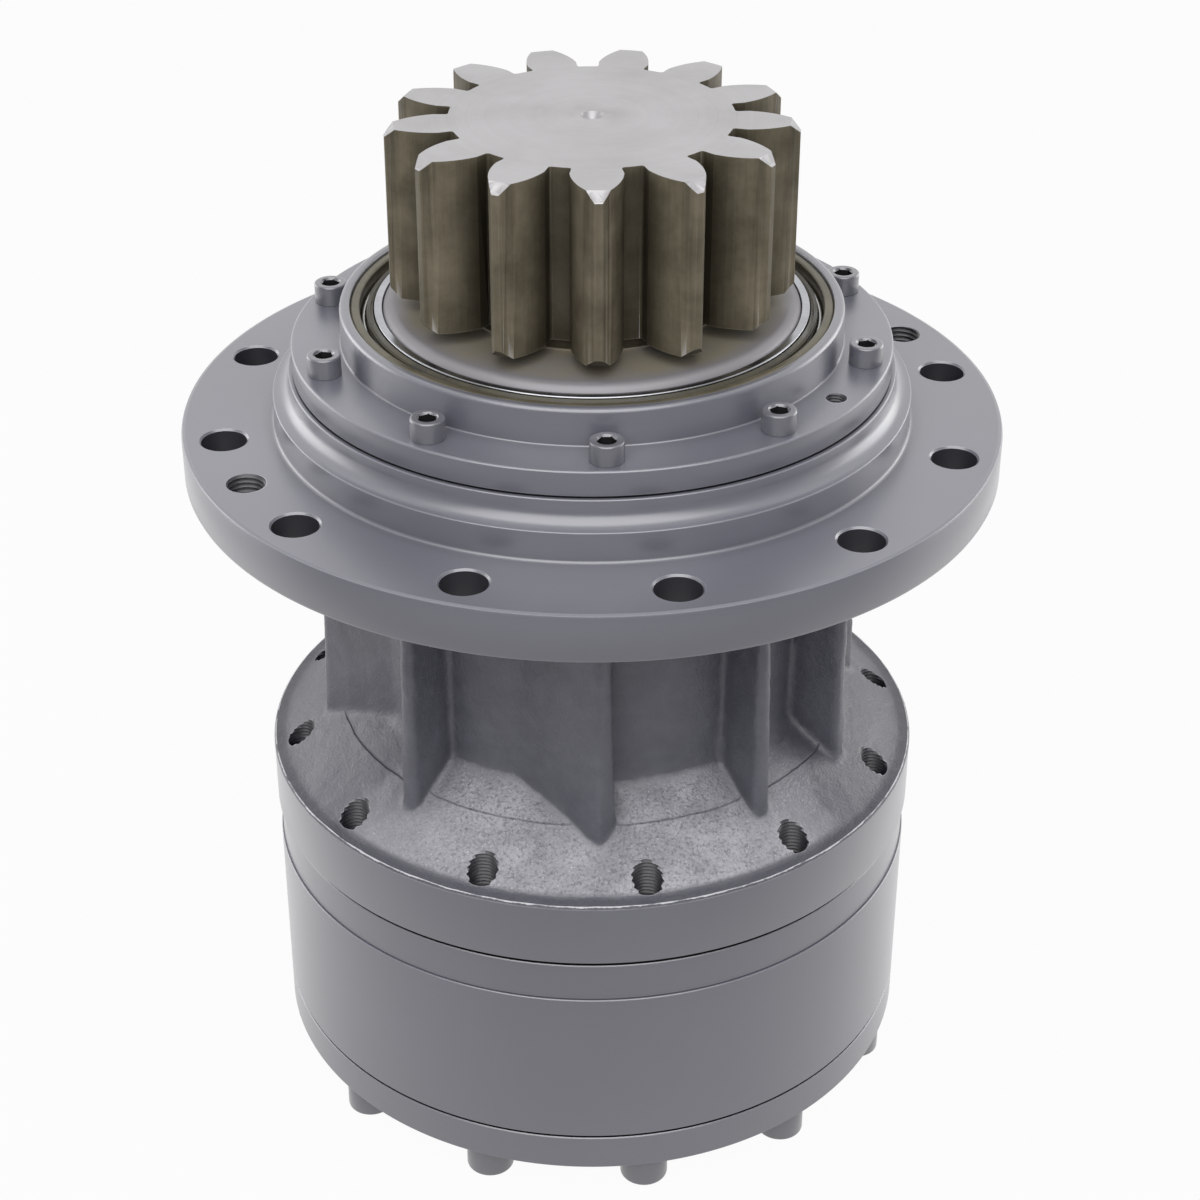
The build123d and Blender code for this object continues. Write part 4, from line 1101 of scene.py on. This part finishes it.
@dataclass(frozen=True)
class SocketScrew:
    """Socket head screw with an eased head and a countersunk hexagon. Sizes in mm.

    It stands on the underside of its head at z = 0, with the head above.
    """

    head_radius: float
    head_height: float
    socket_size: float
    socket_depth: float
    shank_radius: float
    shank_length: float
    ease: float = 1.1
    sink_depth: float = 0.9
    sink_foot: float = 0.93
    sink_mouth: float = 1.12

    def build(self, name: str, inside: Material, skin: Material) -> Piece:
        """Model one screw.

        Args:
            name: Name of the screw.
            inside: Finish of the socket.
            skin: Finish of the rest.

        Returns:
            The screw.
        """
        top = self.head_height
        sink = top - self.sink_depth
        head = turned(name, (
            (0.0, -self.shank_length), (self.shank_radius, -self.shank_length, 0.8, 1),
            (self.shank_radius, 0.0), (self.head_radius, 0.0, 0.35),
            (self.head_radius, top, self.ease, 4), (0.0, top),
        ), 56)
        across = self.socket_size / math.sqrt(3)
        hexagon = rod("hexagon", across, top - self.socket_depth, top, 6)
        select_vertices(hexagon, lambda place: place.z > (top - 0.01) * MM)
        bpy.ops.mesh.extrude_region_move(TRANSFORM_OT_translate={"value": (0, 0, 0.5 * MM)})
        leave_edit()
        cut_away(head, hexagon)
        cut_away(head, turned("sink", ((0.0, sink), (across * self.sink_foot, sink),
                                       (across * self.sink_mouth, top + 0.1), (0.0, top + 0.1)), 48))
        close_seams(head)
        smooth(head, 30)
        low = (top - self.socket_depth - 0.1) * MM
        high = (sink - 0.05) * MM
        finish_faces(head, skin, inside, lambda place, normal: (
            low < place.z < high and from_axis(place) < across * 0.99))
        return head

    def set_out(self, name: str, places: Iterable[Matrix], shelf: FinishShelf, node: str) -> None:
        """Model the screw once and seat a copy at each place.

        Args:
            name: Name of the screws, which get a number.
            places: Transforms of the screws.
            shelf: The finishes.
            node: CAD node of the group.
        """
        pattern = self.build(name, shelf.inside, shelf.made[Slot.SCREW_PAINT])
        for number, place in enumerate(places, 1):
            copy = placed_copy(pattern, f"{name}_{number:02d}", place)
            shelf.dress(copy, node, Slot.SCREW_PAINT)
        drop(pattern)


# Sub-assemblies


@dataclass
class Housing:
    """The main casting: a machined rim and flange with a sand-cast neck between them. Sizes in mm."""

    rim_low: float = 148.0
    rim_radius: float = 166.5
    rim_wall: float = 28.0
    ledge_radius: float = 160.5
    ledge_z: float = 181.5
    skin_low: float = 180.0
    edge_chamfer: float = 0.9
    dome_slope: float = 0.7
    waist_radius: float = 112.0
    waist_round: float = 5.0
    skirt_radius: float = 124.0
    bore_radius: float = 101.0
    flange_z: float = 339.0
    flange_top_z: float = 363.0
    flange_radius: float = 199.93
    spigot_radius: float = 155.0
    spigot_top_z: float = 378.0
    boss_radius: float = 147.0
    boss_top_z: float = 390.0
    boss_fillet: float = 6.5
    bearing_bore: float = 105.5
    bearing_seat_z: float = 348.0
    cover_radius: float = 145.0
    rib_start: float = 103.0
    rib_reach: float = 140.0
    rib_thickness: float = 10.5
    rib_draft: float = 0.8
    rib_edge: float = 2.2
    wing_angle: float = 50.0
    wing_distance: float = 98.0
    wing_width: float = 186.0
    wing_thickness: float = 14.0
    rib_angles: tuple[float, ...] = (50.0, 126.5, 153.5, 230.0, 306.5, 333.5)
    overlap: float = 4.0
    skin_facets: int = 160
    voxel: float = 1.8
    softening_rounds: int = 7
    bumps: tuple[tuple[str, float, float], ...] = (("lumps", 16.0, 0.9), ("pits", 3.4, 0.42))
    tap_floor: float = 24.0
    flange_holes: HoleRing = HoleRing(180.0, 12, 12.0)
    flange_hole_radius: float = 11.0
    sink_depth: float = 0.9
    sink_width: float = 1.3
    jack_holes: HoleRing = HoleRing(180.0, 2, 27.0)
    drum_thread: Thread = Thread(8.15, 2.0)
    jack_thread: Thread = Thread(10.1, 2.5)

    def bar(self, length: float, thickness: float, middle: float, angle: float) -> Piece:
        """Drafted upright bar with eased edges, from inside the dome up into the flange.

        Args:
            length: Radial size at the foot.
            thickness: Size across at the foot.
            middle: Distance of its middle from the axis.
            angle: Its direction in degrees.

        Returns:
            The bar.
        """
        low = self.ledge_z - 2.0
        high = self.flange_z + self.overlap
        clear_selection()
        bpy.ops.mesh.primitive_cube_add(size=1.0, location=(0, 0, (low + high) / 2 * MM),
                                        scale=(length * MM, thickness * MM, (high - low) * MM))
        piece = baked("bar")
        shrink = 2 * (high - low) * math.tan(math.radians(self.rib_draft))
        select_vertices(piece, lambda place: place.z > (high - 1.0) * MM)
        bpy.ops.transform.resize(value=((length - shrink) / length, (thickness - shrink) / thickness, 1.0),
                                 center_override=(0.0, 0.0, high * MM))
        leave_edit()
        apply_modifier(piece, "BEVEL", width=self.rib_edge * MM, segments=3, limit_method="ANGLE",
                       angle_limit=math.radians(40))
        turn = Matrix.Rotation(math.radians(angle), 4, "Z")
        return moved(piece, "bar", turn @ Matrix.Translation((middle * MM, 0.0, 0.0)))

    def dome_height(self, radius: float) -> float:
        """Height of the dome's cone at a radius."""
        return self.ledge_z + (self.ledge_radius - radius) * self.dome_slope

    def neck(self) -> Piece:
        """Sand-cast dome, waist, ribs and wings as one lumpy skin with soft inner corners.

        Returns:
            The closed piece, without its holes.
        """
        over = self.rim_radius + 3.0
        inner = self.bore_radius - 2.0
        foot = self.skin_low - 3.0
        under = self.flange_z + 0.6
        high = self.flange_z + self.overlap
        waist = turned("housing_casting", (
            (inner, foot), (over, foot), (over, self.ledge_z), (self.ledge_radius, self.ledge_z, 1.0),
            (self.waist_radius, self.dome_height(self.waist_radius), self.waist_round, 5),
            (self.waist_radius, under, self.waist_round, 5),
            (self.skirt_radius, under), (self.skirt_radius, high), (inner, high),
        ), self.skin_facets)
        bars = [self.bar(self.rib_reach - self.rib_start, self.rib_thickness,
                         (self.rib_reach + self.rib_start) / 2, angle) for angle in self.rib_angles]
        bars += [self.bar(self.wing_thickness, self.wing_width, self.wing_distance, angle)
                 for angle in (self.wing_angle, self.wing_angle + 180)]
        skin = joined([waist, *bars])
        apply_modifier(skin, "REMESH", mode="VOXEL", voxel_size=self.voxel * MM, use_smooth_shade=True)
        soft = skin.vertex_groups.new(name="soft")
        soft.add([v.index for v in skin.data.vertices if from_axis(v.co) < self.ledge_radius - 1.0],
                 1.0, "REPLACE")
        apply_modifier(skin, "SMOOTH", factor=0.5, iterations=self.softening_rounds, vertex_group="soft")
        for name, size, strength in self.bumps:
            texture = bpy.data.textures.new(name, "CLOUDS")
            texture.noise_scale = size * MM
            texture.noise_depth = 2
            apply_modifier(skin, "DISPLACE", texture=texture, strength=strength * MM, mid_level=0.5,
                           texture_coords="LOCAL")
        skin.vertex_groups.clear()
        return skin

    def paint_tap_shade(self, piece: Piece, shelf: FinishShelf, slot: Slot) -> None:
        """Paint the threads of the rim's holes with painted shade, as dark as a deep hole.

        Args:
            piece: Part with the threaded holes.
            shelf: The finishes.
            slot: Finish of the rest of the part.
        """
        def in_tap(place: Vector, normal: Vector) -> bool:
            """Whether a face lies on a thread, below the skin round it."""
            skin = self.dome_height(from_axis(place)) - 0.6
            return DRUM_BOLTS.off(place) < self.drum_thread.major + 0.05 and place.z < skin * MM

        # Painted shade on the threads below the skin.
        finish_faces(piece, shelf.made[slot], shelf.hole_shade, in_tap)

    def build_casting(self, shelf: FinishShelf) -> None:
        """Neck with its threaded holes, trimmed to lie between the rim and the flange.

        Args:
            shelf: The finishes.
        """
        skin = self.neck()
        edge = self.rim_radius - self.edge_chamfer
        under = self.flange_z + 0.3
        cut_away(skin, turned("envelope", (
            (self.bore_radius, self.skin_low), (self.rim_radius - 0.05, self.skin_low),
            (edge, self.ledge_z + 0.4), (edge, under), (self.bore_radius, under),
        )), "INTERSECT")
        tap = self.drum_thread.tap(self.rim_low + self.tap_floor, self.dome_height(140.0))
        cut_away(skin, DRUM_BOLTS.cutter(tap))
        smooth(skin, 38, turned_part=False)
        self.paint_tap_shade(skin, shelf, Slot.CAST_PAINT)
        shelf.dress(skin, "main_housing", Slot.CAST_PAINT)

    def build_rim(self, shelf: FinishShelf) -> None:
        """Turned band under the cast skin.

        Args:
            shelf: The finishes.
        """
        inner = self.ledge_radius - self.rim_wall
        top = self.skin_low + 0.1
        rim = turned("housing_rim", ((inner, self.rim_low), (self.rim_radius, self.rim_low, 0.4),
                                     (self.rim_radius, top), (inner, top)))
        tap = self.drum_thread.tap(self.rim_low - 2.0, self.skin_low + 4.0)
        cut_away(rim, DRUM_BOLTS.cutter(tap))
        smooth(rim)
        self.paint_tap_shade(rim, shelf, Slot.MACHINE_PAINT)
        shelf.dress(rim, "main_housing")

    def flange_drill(self) -> Piece:
        """Drill of the bolt holes on the main axis, with the countersink at its top.

        Returns:
            The closed cutter.
        """
        drill = rod("drill", self.flange_hole_radius, self.flange_z - 1, self.flange_top_z + 1, 56)
        select_vertices(drill, lambda place: place.z > self.flange_top_z * MM)
        bpy.ops.transform.translate(value=(0, 0, -(1 + self.sink_depth) * MM))
        bpy.ops.mesh.extrude_region_move(TRANSFORM_OT_translate={"value": (0, 0, self.sink_width * MM)})
        grow = 1 + self.sink_width / self.flange_hole_radius
        bpy.ops.transform.resize(value=(grow, grow, 1.0), center_override=(0, 0, self.flange_top_z * MM))
        leave_edit()
        return drill

    def build_flange(self, shelf: FinishShelf) -> None:
        """Turned flange, spigot and boss with the bolt and jacking holes.

        Args:
            shelf: The finishes.
        """
        inner = self.bore_radius - 2.0
        flange = turned("housing_flange", (
            (inner, self.flange_z), (self.flange_radius, self.flange_z, 2.0, 2),
            (self.flange_radius, self.flange_top_z, 2.0, 2), (self.spigot_radius, self.flange_top_z, 1.6, 4),
            (self.spigot_radius, self.spigot_top_z, 0.7),
            (self.boss_radius, self.spigot_top_z, self.boss_fillet + 1.0, 8),
            (self.boss_radius, self.boss_top_z, 0.8), (self.cover_radius, self.boss_top_z),
            (self.bearing_bore, self.boss_top_z), (self.bearing_bore, self.bearing_seat_z),
            (inner, self.bearing_seat_z),
        ))
        cut_away(flange, self.flange_holes.cutter(self.flange_drill()))
        tap = self.jack_thread.tap(self.flange_z - 4, self.flange_top_z + 3)
        cut_away(flange, self.jack_holes.cutter(tap))
        smooth(flange)
        self.paint_flange_shade(flange, shelf)
        shelf.dress(flange, "main_housing")

    def paint_flange_shade(self, flange: Piece, shelf: FinishShelf) -> None:
        """Paint the walls of the flange's holes with painted shade, and the boss's top under the seal cover
        with painted shadow.

        Args:
            flange: Turned flange with its holes.
            shelf: The finishes.
        """
        def in_hole(place: Vector, normal: Vector) -> bool:
            """Whether a face is the wall of a bolt hole or a jacking hole's thread."""
            bolt = self.flange_holes.off(place) < self.flange_hole_radius + 0.1
            return abs(normal.z) < 0.3 if bolt else self.jack_thread.on_wall(self.jack_holes, place, normal)

        def under_cover(place: Vector, normal: Vector) -> bool:
            """Whether a face is the boss's top inside the seal cover's foot."""
            return from_axis(place) < self.cover_radius and place.z > (self.boss_top_z - 0.1) * MM

        paint = shelf.made[Slot.MACHINE_PAINT]
        # Painted shade on the walls of the bolt holes and the jacking threads.
        finish_faces(flange, paint, shelf.hole_shade, in_hole)
        # Painted shadow: the boss's top in the gap under the seal cover's foot.
        finish_faces(flange, paint, shelf.inside, under_cover)

    def build(self, shelf: FinishShelf) -> None:
        """Make the three parts of the casting.

        Args:
            shelf: The finishes.
        """
        self.build_casting(shelf)
        self.build_rim(shelf)
        self.build_flange(shelf)


@dataclass
class SealCover:
    """Cover over the upper bearing with its raised rim, puller holes and screws. Sizes in mm."""

    seat_z: float = 390.0
    flange_z: float = 403.0
    top_z: float = 421.0
    outer_radius: float = 145.0
    rim_radius: float = 121.0
    bore_radius: float = 115.7
    bore_depth: float = 17.5
    lower_bore: float = 109.0
    web_radius: float = 102.6
    web_height: float = 5.0
    groove: float = 1.6
    groove_height: float = 0.9
    screws: HoleRing = HoleRing(133.5, 10, 20.8)
    screw: SocketScrew = SocketScrew(8.0, 10.0, 8.0, 5.0, 5.0, 24.0, 1.0)
    puller_holes: HoleRing = HoleRing(133.5, 2, 146.8)
    puller_thread: Thread = Thread(5.4, 1.5)

    def build(self, shelf: FinishShelf) -> None:
        """Turn the cover, tap its puller holes and set out its screws.

        Args:
            shelf: The finishes.
        """
        seat = self.top_z - self.bore_depth
        web = self.seat_z + self.web_height
        foot = self.outer_radius - self.groove
        groove = self.seat_z + self.groove_height
        cover = turned("seal_cover_turned", (
            (self.web_radius, self.seat_z), (foot, self.seat_z), (foot, groove),
            (self.outer_radius, groove, 0.3), (self.outer_radius, self.flange_z, 1.3),
            (self.rim_radius, self.flange_z, 0.9), (self.rim_radius, self.top_z, 2.2, 4),
            (self.bore_radius, self.top_z, 1.4, 2), (self.bore_radius, seat), (self.lower_bore, seat),
            (self.lower_bore, web), (self.web_radius, web),
        ))
        tap = self.puller_thread.tap(self.seat_z - 3, self.flange_z + 2, 24)
        cut_away(cover, self.puller_holes.cutter(tap))
        smooth(cover)
        # Painted shade on the puller holes' threads.
        finish_faces(cover, shelf.made[Slot.MACHINE_PAINT], shelf.hole_shade,
                     lambda place, normal: self.puller_thread.on_wall(self.puller_holes, place, normal))
        shelf.dress(cover, "seal_cover")
        self.screw.set_out("seal_cover_screw", self.screws.places(self.flange_z), shelf,
                           "seal_cover_screws")


@dataclass
class OilSeal:
    """Seal case, lip and the sleeve that it runs on. Sizes in mm."""

    facets: int = 224
    case_radius: float = 115.7
    case_top: float = 420.0
    case_low: float = 405.0
    case_wall: float = 4.6
    case_floor: float = 3.0
    sleeve_inner: float = 100.5
    sleeve_outer: float = 104.5
    sleeve_top: float = 419.0
    sleeve_low: float = 397.0
    lip_inner: float = 104.9
    lip_outer: float = 108.1
    lip_top: float = 418.5

    def build(self, shelf: FinishShelf) -> None:
        """Turn the three rings.

        Args:
            shelf: The finishes.
        """
        inner = self.case_radius - self.case_wall
        floor = self.case_low + self.case_floor
        for name, node, slot, body, degrees, outline in (
                ("oil_seal_case_pressed", "oil_seal_case", Slot.SEAL_METAL, Body.HOUSING, 40,
                 ((self.lip_outer, self.case_low), (self.case_radius, self.case_low, 0.8),
                  (self.case_radius, self.case_top, 1.6, 4), (inner, self.case_top, 1.1, 4),
                  (inner, floor, 1.5, 3), (self.lip_outer, floor))),
                ("oil_seal_lip_moulded", "oil_seal_lip", Slot.SEAL_RUBBER, Body.HOUSING, 40,
                 ((self.lip_outer - 1.0, self.case_low), (self.lip_outer, self.case_low),
                  (self.lip_outer, self.lip_top - 0.6, 1.0, 3),
                  (self.lip_outer - 1.5, self.lip_top - 1.7, 0.5), (self.lip_inner, self.lip_top, 0.5),
                  (self.lip_inner, self.lip_top - 6.0, 0.6))),
                ("seal_wear_sleeve_ground", "seal_wear_sleeve", Slot.POLISHED_STEEL, Body.OUTPUT, 30,
                 ((self.sleeve_inner, self.sleeve_low), (self.sleeve_outer, self.sleeve_low, 0.4),
                  (self.sleeve_outer, self.sleeve_top, 0.7, 4),
                  (self.sleeve_inner, self.sleeve_top, 0.4)))):
            ring = turned(name, outline, self.facets)
            smooth(ring, degrees)
            shelf.dress(ring, node, slot, body)


@dataclass
class OutputShaft:
    """Output pinion and shaft, with smooth flanks and level faces that stay flat."""

    def build(self, shelf: FinishShelf) -> None:
        """Copy the shaft's solid, merge it and smooth its flanks.

        Args:
            shelf: The finishes.
        """
        shaft = merged_copy("pinion_shaft", "pinion_shaft_ground")
        smooth(shaft, 14)
        shelf.dress(shaft, "pinion_shaft", Slot.PINION_STEEL, Body.OUTPUT)


@dataclass(frozen=True)
class DrumWall:
    """Outer wall of one drum part, with the joint's groove on top. Sizes in mm."""

    node: str
    radius: float
    low: float
    high: float
    foot: float
    top: float
    groove: float
    lip: float = 0.0

    def step(self) -> float:
        """Height of the groove's floor."""
        return self.high - self.groove

    def shadow(self) -> float:
        """Radius inside which the groove lies in deep shadow, painted black."""
        return self.radius - self.top - self.lip


@dataclass
class Drum:
    """Spacer ring, ring gear and motor cover, and the long bolts from below. Sizes in mm."""

    radius: float = 166.0
    spacer_radius: float = 165.0
    cover_z: float = 16.0
    ring_z: float = 37.5
    spacer_z: float = 125.0
    rim_z: float = 148.0
    skin: float = 3.0
    seam_depth: float = 1.9
    drain_angle: float = 85.0
    drain_spot_radius: float = 9.6
    drain_spot_depth: float = 1.0
    drain_hole_radius: float = 6.6
    bolt: SocketScrew = SocketScrew(12.0, 16.0, 14.0, 8.0, 8.0, 156.0, 1.6)

    def walled(self, wall: DrumWall, shelf: FinishShelf) -> Piece:
        """Copy a drum part's inside, turn it a clean outer wall and paint the hidden part of the joint's
        groove black as painted shadow.

        Args:
            wall: Sizes of the wall.
            shelf: The finishes.

        Returns:
            The closed part.
        """
        piece = merged_copy(wall.node, f"{wall.node}_turned")
        within = wall.radius - self.skin
        cut_away(piece, rod("within", within, wall.low - 10.0, wall.high + 1.0), "INTERSECT")
        step = wall.step()
        floor = wall.radius - self.seam_depth
        inner = within - 0.4
        cut_away(piece, turned("wall", (
            (inner, wall.low), (wall.radius, wall.low, wall.foot, 1), (wall.radius, step, wall.top, 1),
            (wall.shadow() - 0.05, step), (floor, step), (floor, wall.high), (inner, wall.high),
        )), "UNION")
        # Painted shadow: the groove's floor and wall that the part above hides.
        finish_faces(piece, shelf.made[Slot.MACHINE_PAINT], shelf.inside, lambda place, normal: (
            floor - 0.1 < from_axis(place) < wall.shadow() and place.z > (step - 0.05) * MM))
        return piece

    def drill_drain(self, cover: Piece) -> None:
        """Cut the drain plug's spot face and hole in the cover's wall.

        Args:
            cover: Motor cover with its outer wall.
        """
        turn = Matrix.Rotation(math.radians(self.drain_angle), 4, "Z")
        middle = (self.cover_z + self.ring_z) / 2
        for radius, depth in ((self.drain_spot_radius, self.drain_spot_depth),
                              (self.drain_hole_radius, 2 * self.skin)):
            clear_selection()
            bpy.ops.mesh.primitive_cylinder_add(vertices=48, radius=radius * MM, depth=2 * depth * MM,
                                                location=(self.radius * MM, 0, middle * MM),
                                                rotation=(0, math.pi / 2, 0))
            cut_away(cover, moved(baked("drain_cutter"), "drain_cutter", turn))

    def build(self, shelf: FinishShelf) -> None:
        """Wall the three drum parts and set out the bolts.

        Args:
            shelf: The finishes.
        """
        walls = (
            DrumWall("spacer_ring", self.spacer_radius, self.spacer_z, self.rim_z, 0.25, 0.4, 2.7),
            DrumWall("ring_gear", self.radius, self.ring_z, self.spacer_z, 0.35, 0.3, 0.25, 1.3),
            DrumWall("motor_cover", self.radius, self.cover_z, self.ring_z, 1.0, 0.45, 1.3),
        )
        for wall in walls:
            piece = self.walled(wall, shelf)
            if wall.node == "motor_cover":
                self.drill_drain(piece)
            smooth(piece)
            shelf.dress(piece, wall.node)
        self.bolt.set_out("drum_bolt", DRUM_BOLTS.places(self.cover_z, over=True), shelf, "drum_bolts")


# Studio


def hung(name: str, data: bpy.types.ID, place: Point) -> Piece:
    """Add a lamp or a camera to the scene.

    Args:
        name: Name of the object.
        data: The lamp's or the camera's settings.
        place: Its place in metres.

    Returns:
        The new object.
    """
    thing = bpy.data.objects.new(name, data)
    bpy.context.scene.collection.objects.link(thing)
    thing.location = place
    return thing


@dataclass(frozen=True)
class SoftBox:
    """Large square lamp aimed at the middle of the object."""

    name: str
    place: Point
    size: float
    power: float

    def hang(self, aim: Vector) -> None:
        """Add the lamp.

        Args:
            aim: Point that it faces, in metres.
        """
        data = bpy.data.lights.new(self.name, "AREA")
        data.shape = "SQUARE"
        data.size = self.size
        data.energy = self.power
        lamp = hung(self.name, data, self.place)
        lamp.rotation_euler = (aim - Vector(self.place)).to_track_quat("-Z", "Y").to_euler()


@dataclass
class Studio:
    """Pale floor, white surroundings, soft lamps and the photograph's camera. Lengths in metres."""

    frame_width_px: float = 1200.0
    focal_px: float = 2571.7
    camera_distance: float = 1.1315
    camera_height: float = 0.931
    camera_pitch: float = 31.001
    axis_offset_px: float = 8.0
    sensor_mm: float = 36.0
    floor_size: float = 30.0
    floor_low: float = -0.0002
    floor_colour: Colour = (0.34, 0.34, 0.34)
    floor_white: float = 0.96
    floor_fade: tuple[float, float] = (-0.40, 0.05)
    sky_fade: tuple[float, float] = (-0.7, 0.5)
    front_light: float = 0.26
    back_light: float = 0.58
    front_gloss: float = 0.14
    aim: Point = (0.0, 0.0, 0.25)
    boxes: tuple[SoftBox, ...] = (SoftBox("left_box", (-1.9, 0.90, 0.50), 1.5, 13.0),
                                  SoftBox("right_box", (1.9, 1.00, 0.50), 1.5, 14.0),
                                  SoftBox("front_box", (-0.10, -1.30, 1.95), 2.6, 48.0))

    def set_camera(self) -> None:
        """Place the camera as the photograph's circles say."""
        data = bpy.data.cameras.new("camera")
        data.sensor_width = self.sensor_mm
        data.lens = self.focal_px / self.frame_width_px * self.sensor_mm
        data.shift_x = self.axis_offset_px / self.frame_width_px
        camera = hung("camera", data, (0.0, -self.camera_distance, self.camera_height))
        camera.rotation_euler = (math.radians(90.0 - self.camera_pitch), 0.0, 0.0)
        bpy.context.scene.camera = camera

    def lay_floor(self) -> None:
        """Lay the pale floor, which shows white to the camera and keeps the object's soft shadow."""
        clear_selection()
        bpy.ops.mesh.primitive_plane_add(size=self.floor_size, location=(0, 0, self.floor_low))
        floor = baked("floor")
        coating = Coating("floor")
        sheet = coating.sheet
        sheet.give(coating.shader.inputs["Base Color"], (*self.floor_colour, 1.0))
        sheet.give(coating.shader.inputs["Roughness"], 0.9)
        glow = sheet.put("ShaderNodeEmission", {"Color": (1.0, 1.0, 1.0, 1.0), "Strength": 1.0})
        path, mirrored = sheet.mirrored()
        backdrop = sheet.span(sheet.axes()["Y"], *self.floor_fade, self.front_gloss, 1.0)
        share = sheet.most(sheet.times(path["Is Camera Ray"], self.floor_white),
                           sheet.times(mirrored, backdrop))
        mixed = sheet.put("ShaderNodeMixShader", {0: share, 1: coating.shader.outputs["BSDF"],
                                                  2: glow.outputs["Emission"]})
        sheet.give(sheet.tree.nodes["Material Output"].inputs["Surface"], mixed.outputs[0])
        floor.data.materials.append(coating.material)

    def light(self) -> None:
        """Set the white surroundings and hang the soft boxes."""
        world = bpy.data.worlds.new("surroundings")
        bpy.context.scene.world = world
        world.use_nodes = True
        sheet = NodeSheet(world.node_tree)
        path, mirrored = sheet.mirrored()
        depth = sheet.axes(sheet.put("ShaderNodeTexCoord").outputs["Generated"])["Y"]
        lit = sheet.span(depth, *self.sky_fade, self.front_light, self.back_light)
        gloss = sheet.times(mirrored, sheet.span(depth, *self.sky_fade, self.front_gloss, 1.0))
        back = sheet.tree.nodes["Background"]
        sheet.give(back.inputs["Color"], (1.0, 1.0, 1.0, 1.0))
        sheet.give(back.inputs["Strength"], sheet.most(sheet.most(lit, gloss), path["Is Camera Ray"]))
        for box in self.boxes:
            box.hang(Vector(self.aim))

    def build(self) -> None:
        """Set up the camera, the floor and the light."""
        bpy.context.scene.view_settings.view_transform = "Standard"
        self.set_camera()
        self.lay_floor()
        self.light()


def write_sizes() -> None:
    """Bring the scene's transforms up to date.
    """
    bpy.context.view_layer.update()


def main() -> None:
    """Dress the frame, build the new pieces in order and set up the studio."""
    logging.basicConfig(level=logging.INFO, format="%(name)s: %(message)s")
    shelf = FinishShelf()
    shelf.fill()
    shelf.dress_nodes()
    for assembly in (Housing(), SealCover(), OilSeal(), OutputShaft(), Drum()):
        assembly.build(shelf)
        LOG.info("built %s", type(assembly).__name__)
    Studio().build()
    write_sizes()


if __name__ == "__main__":
    main()
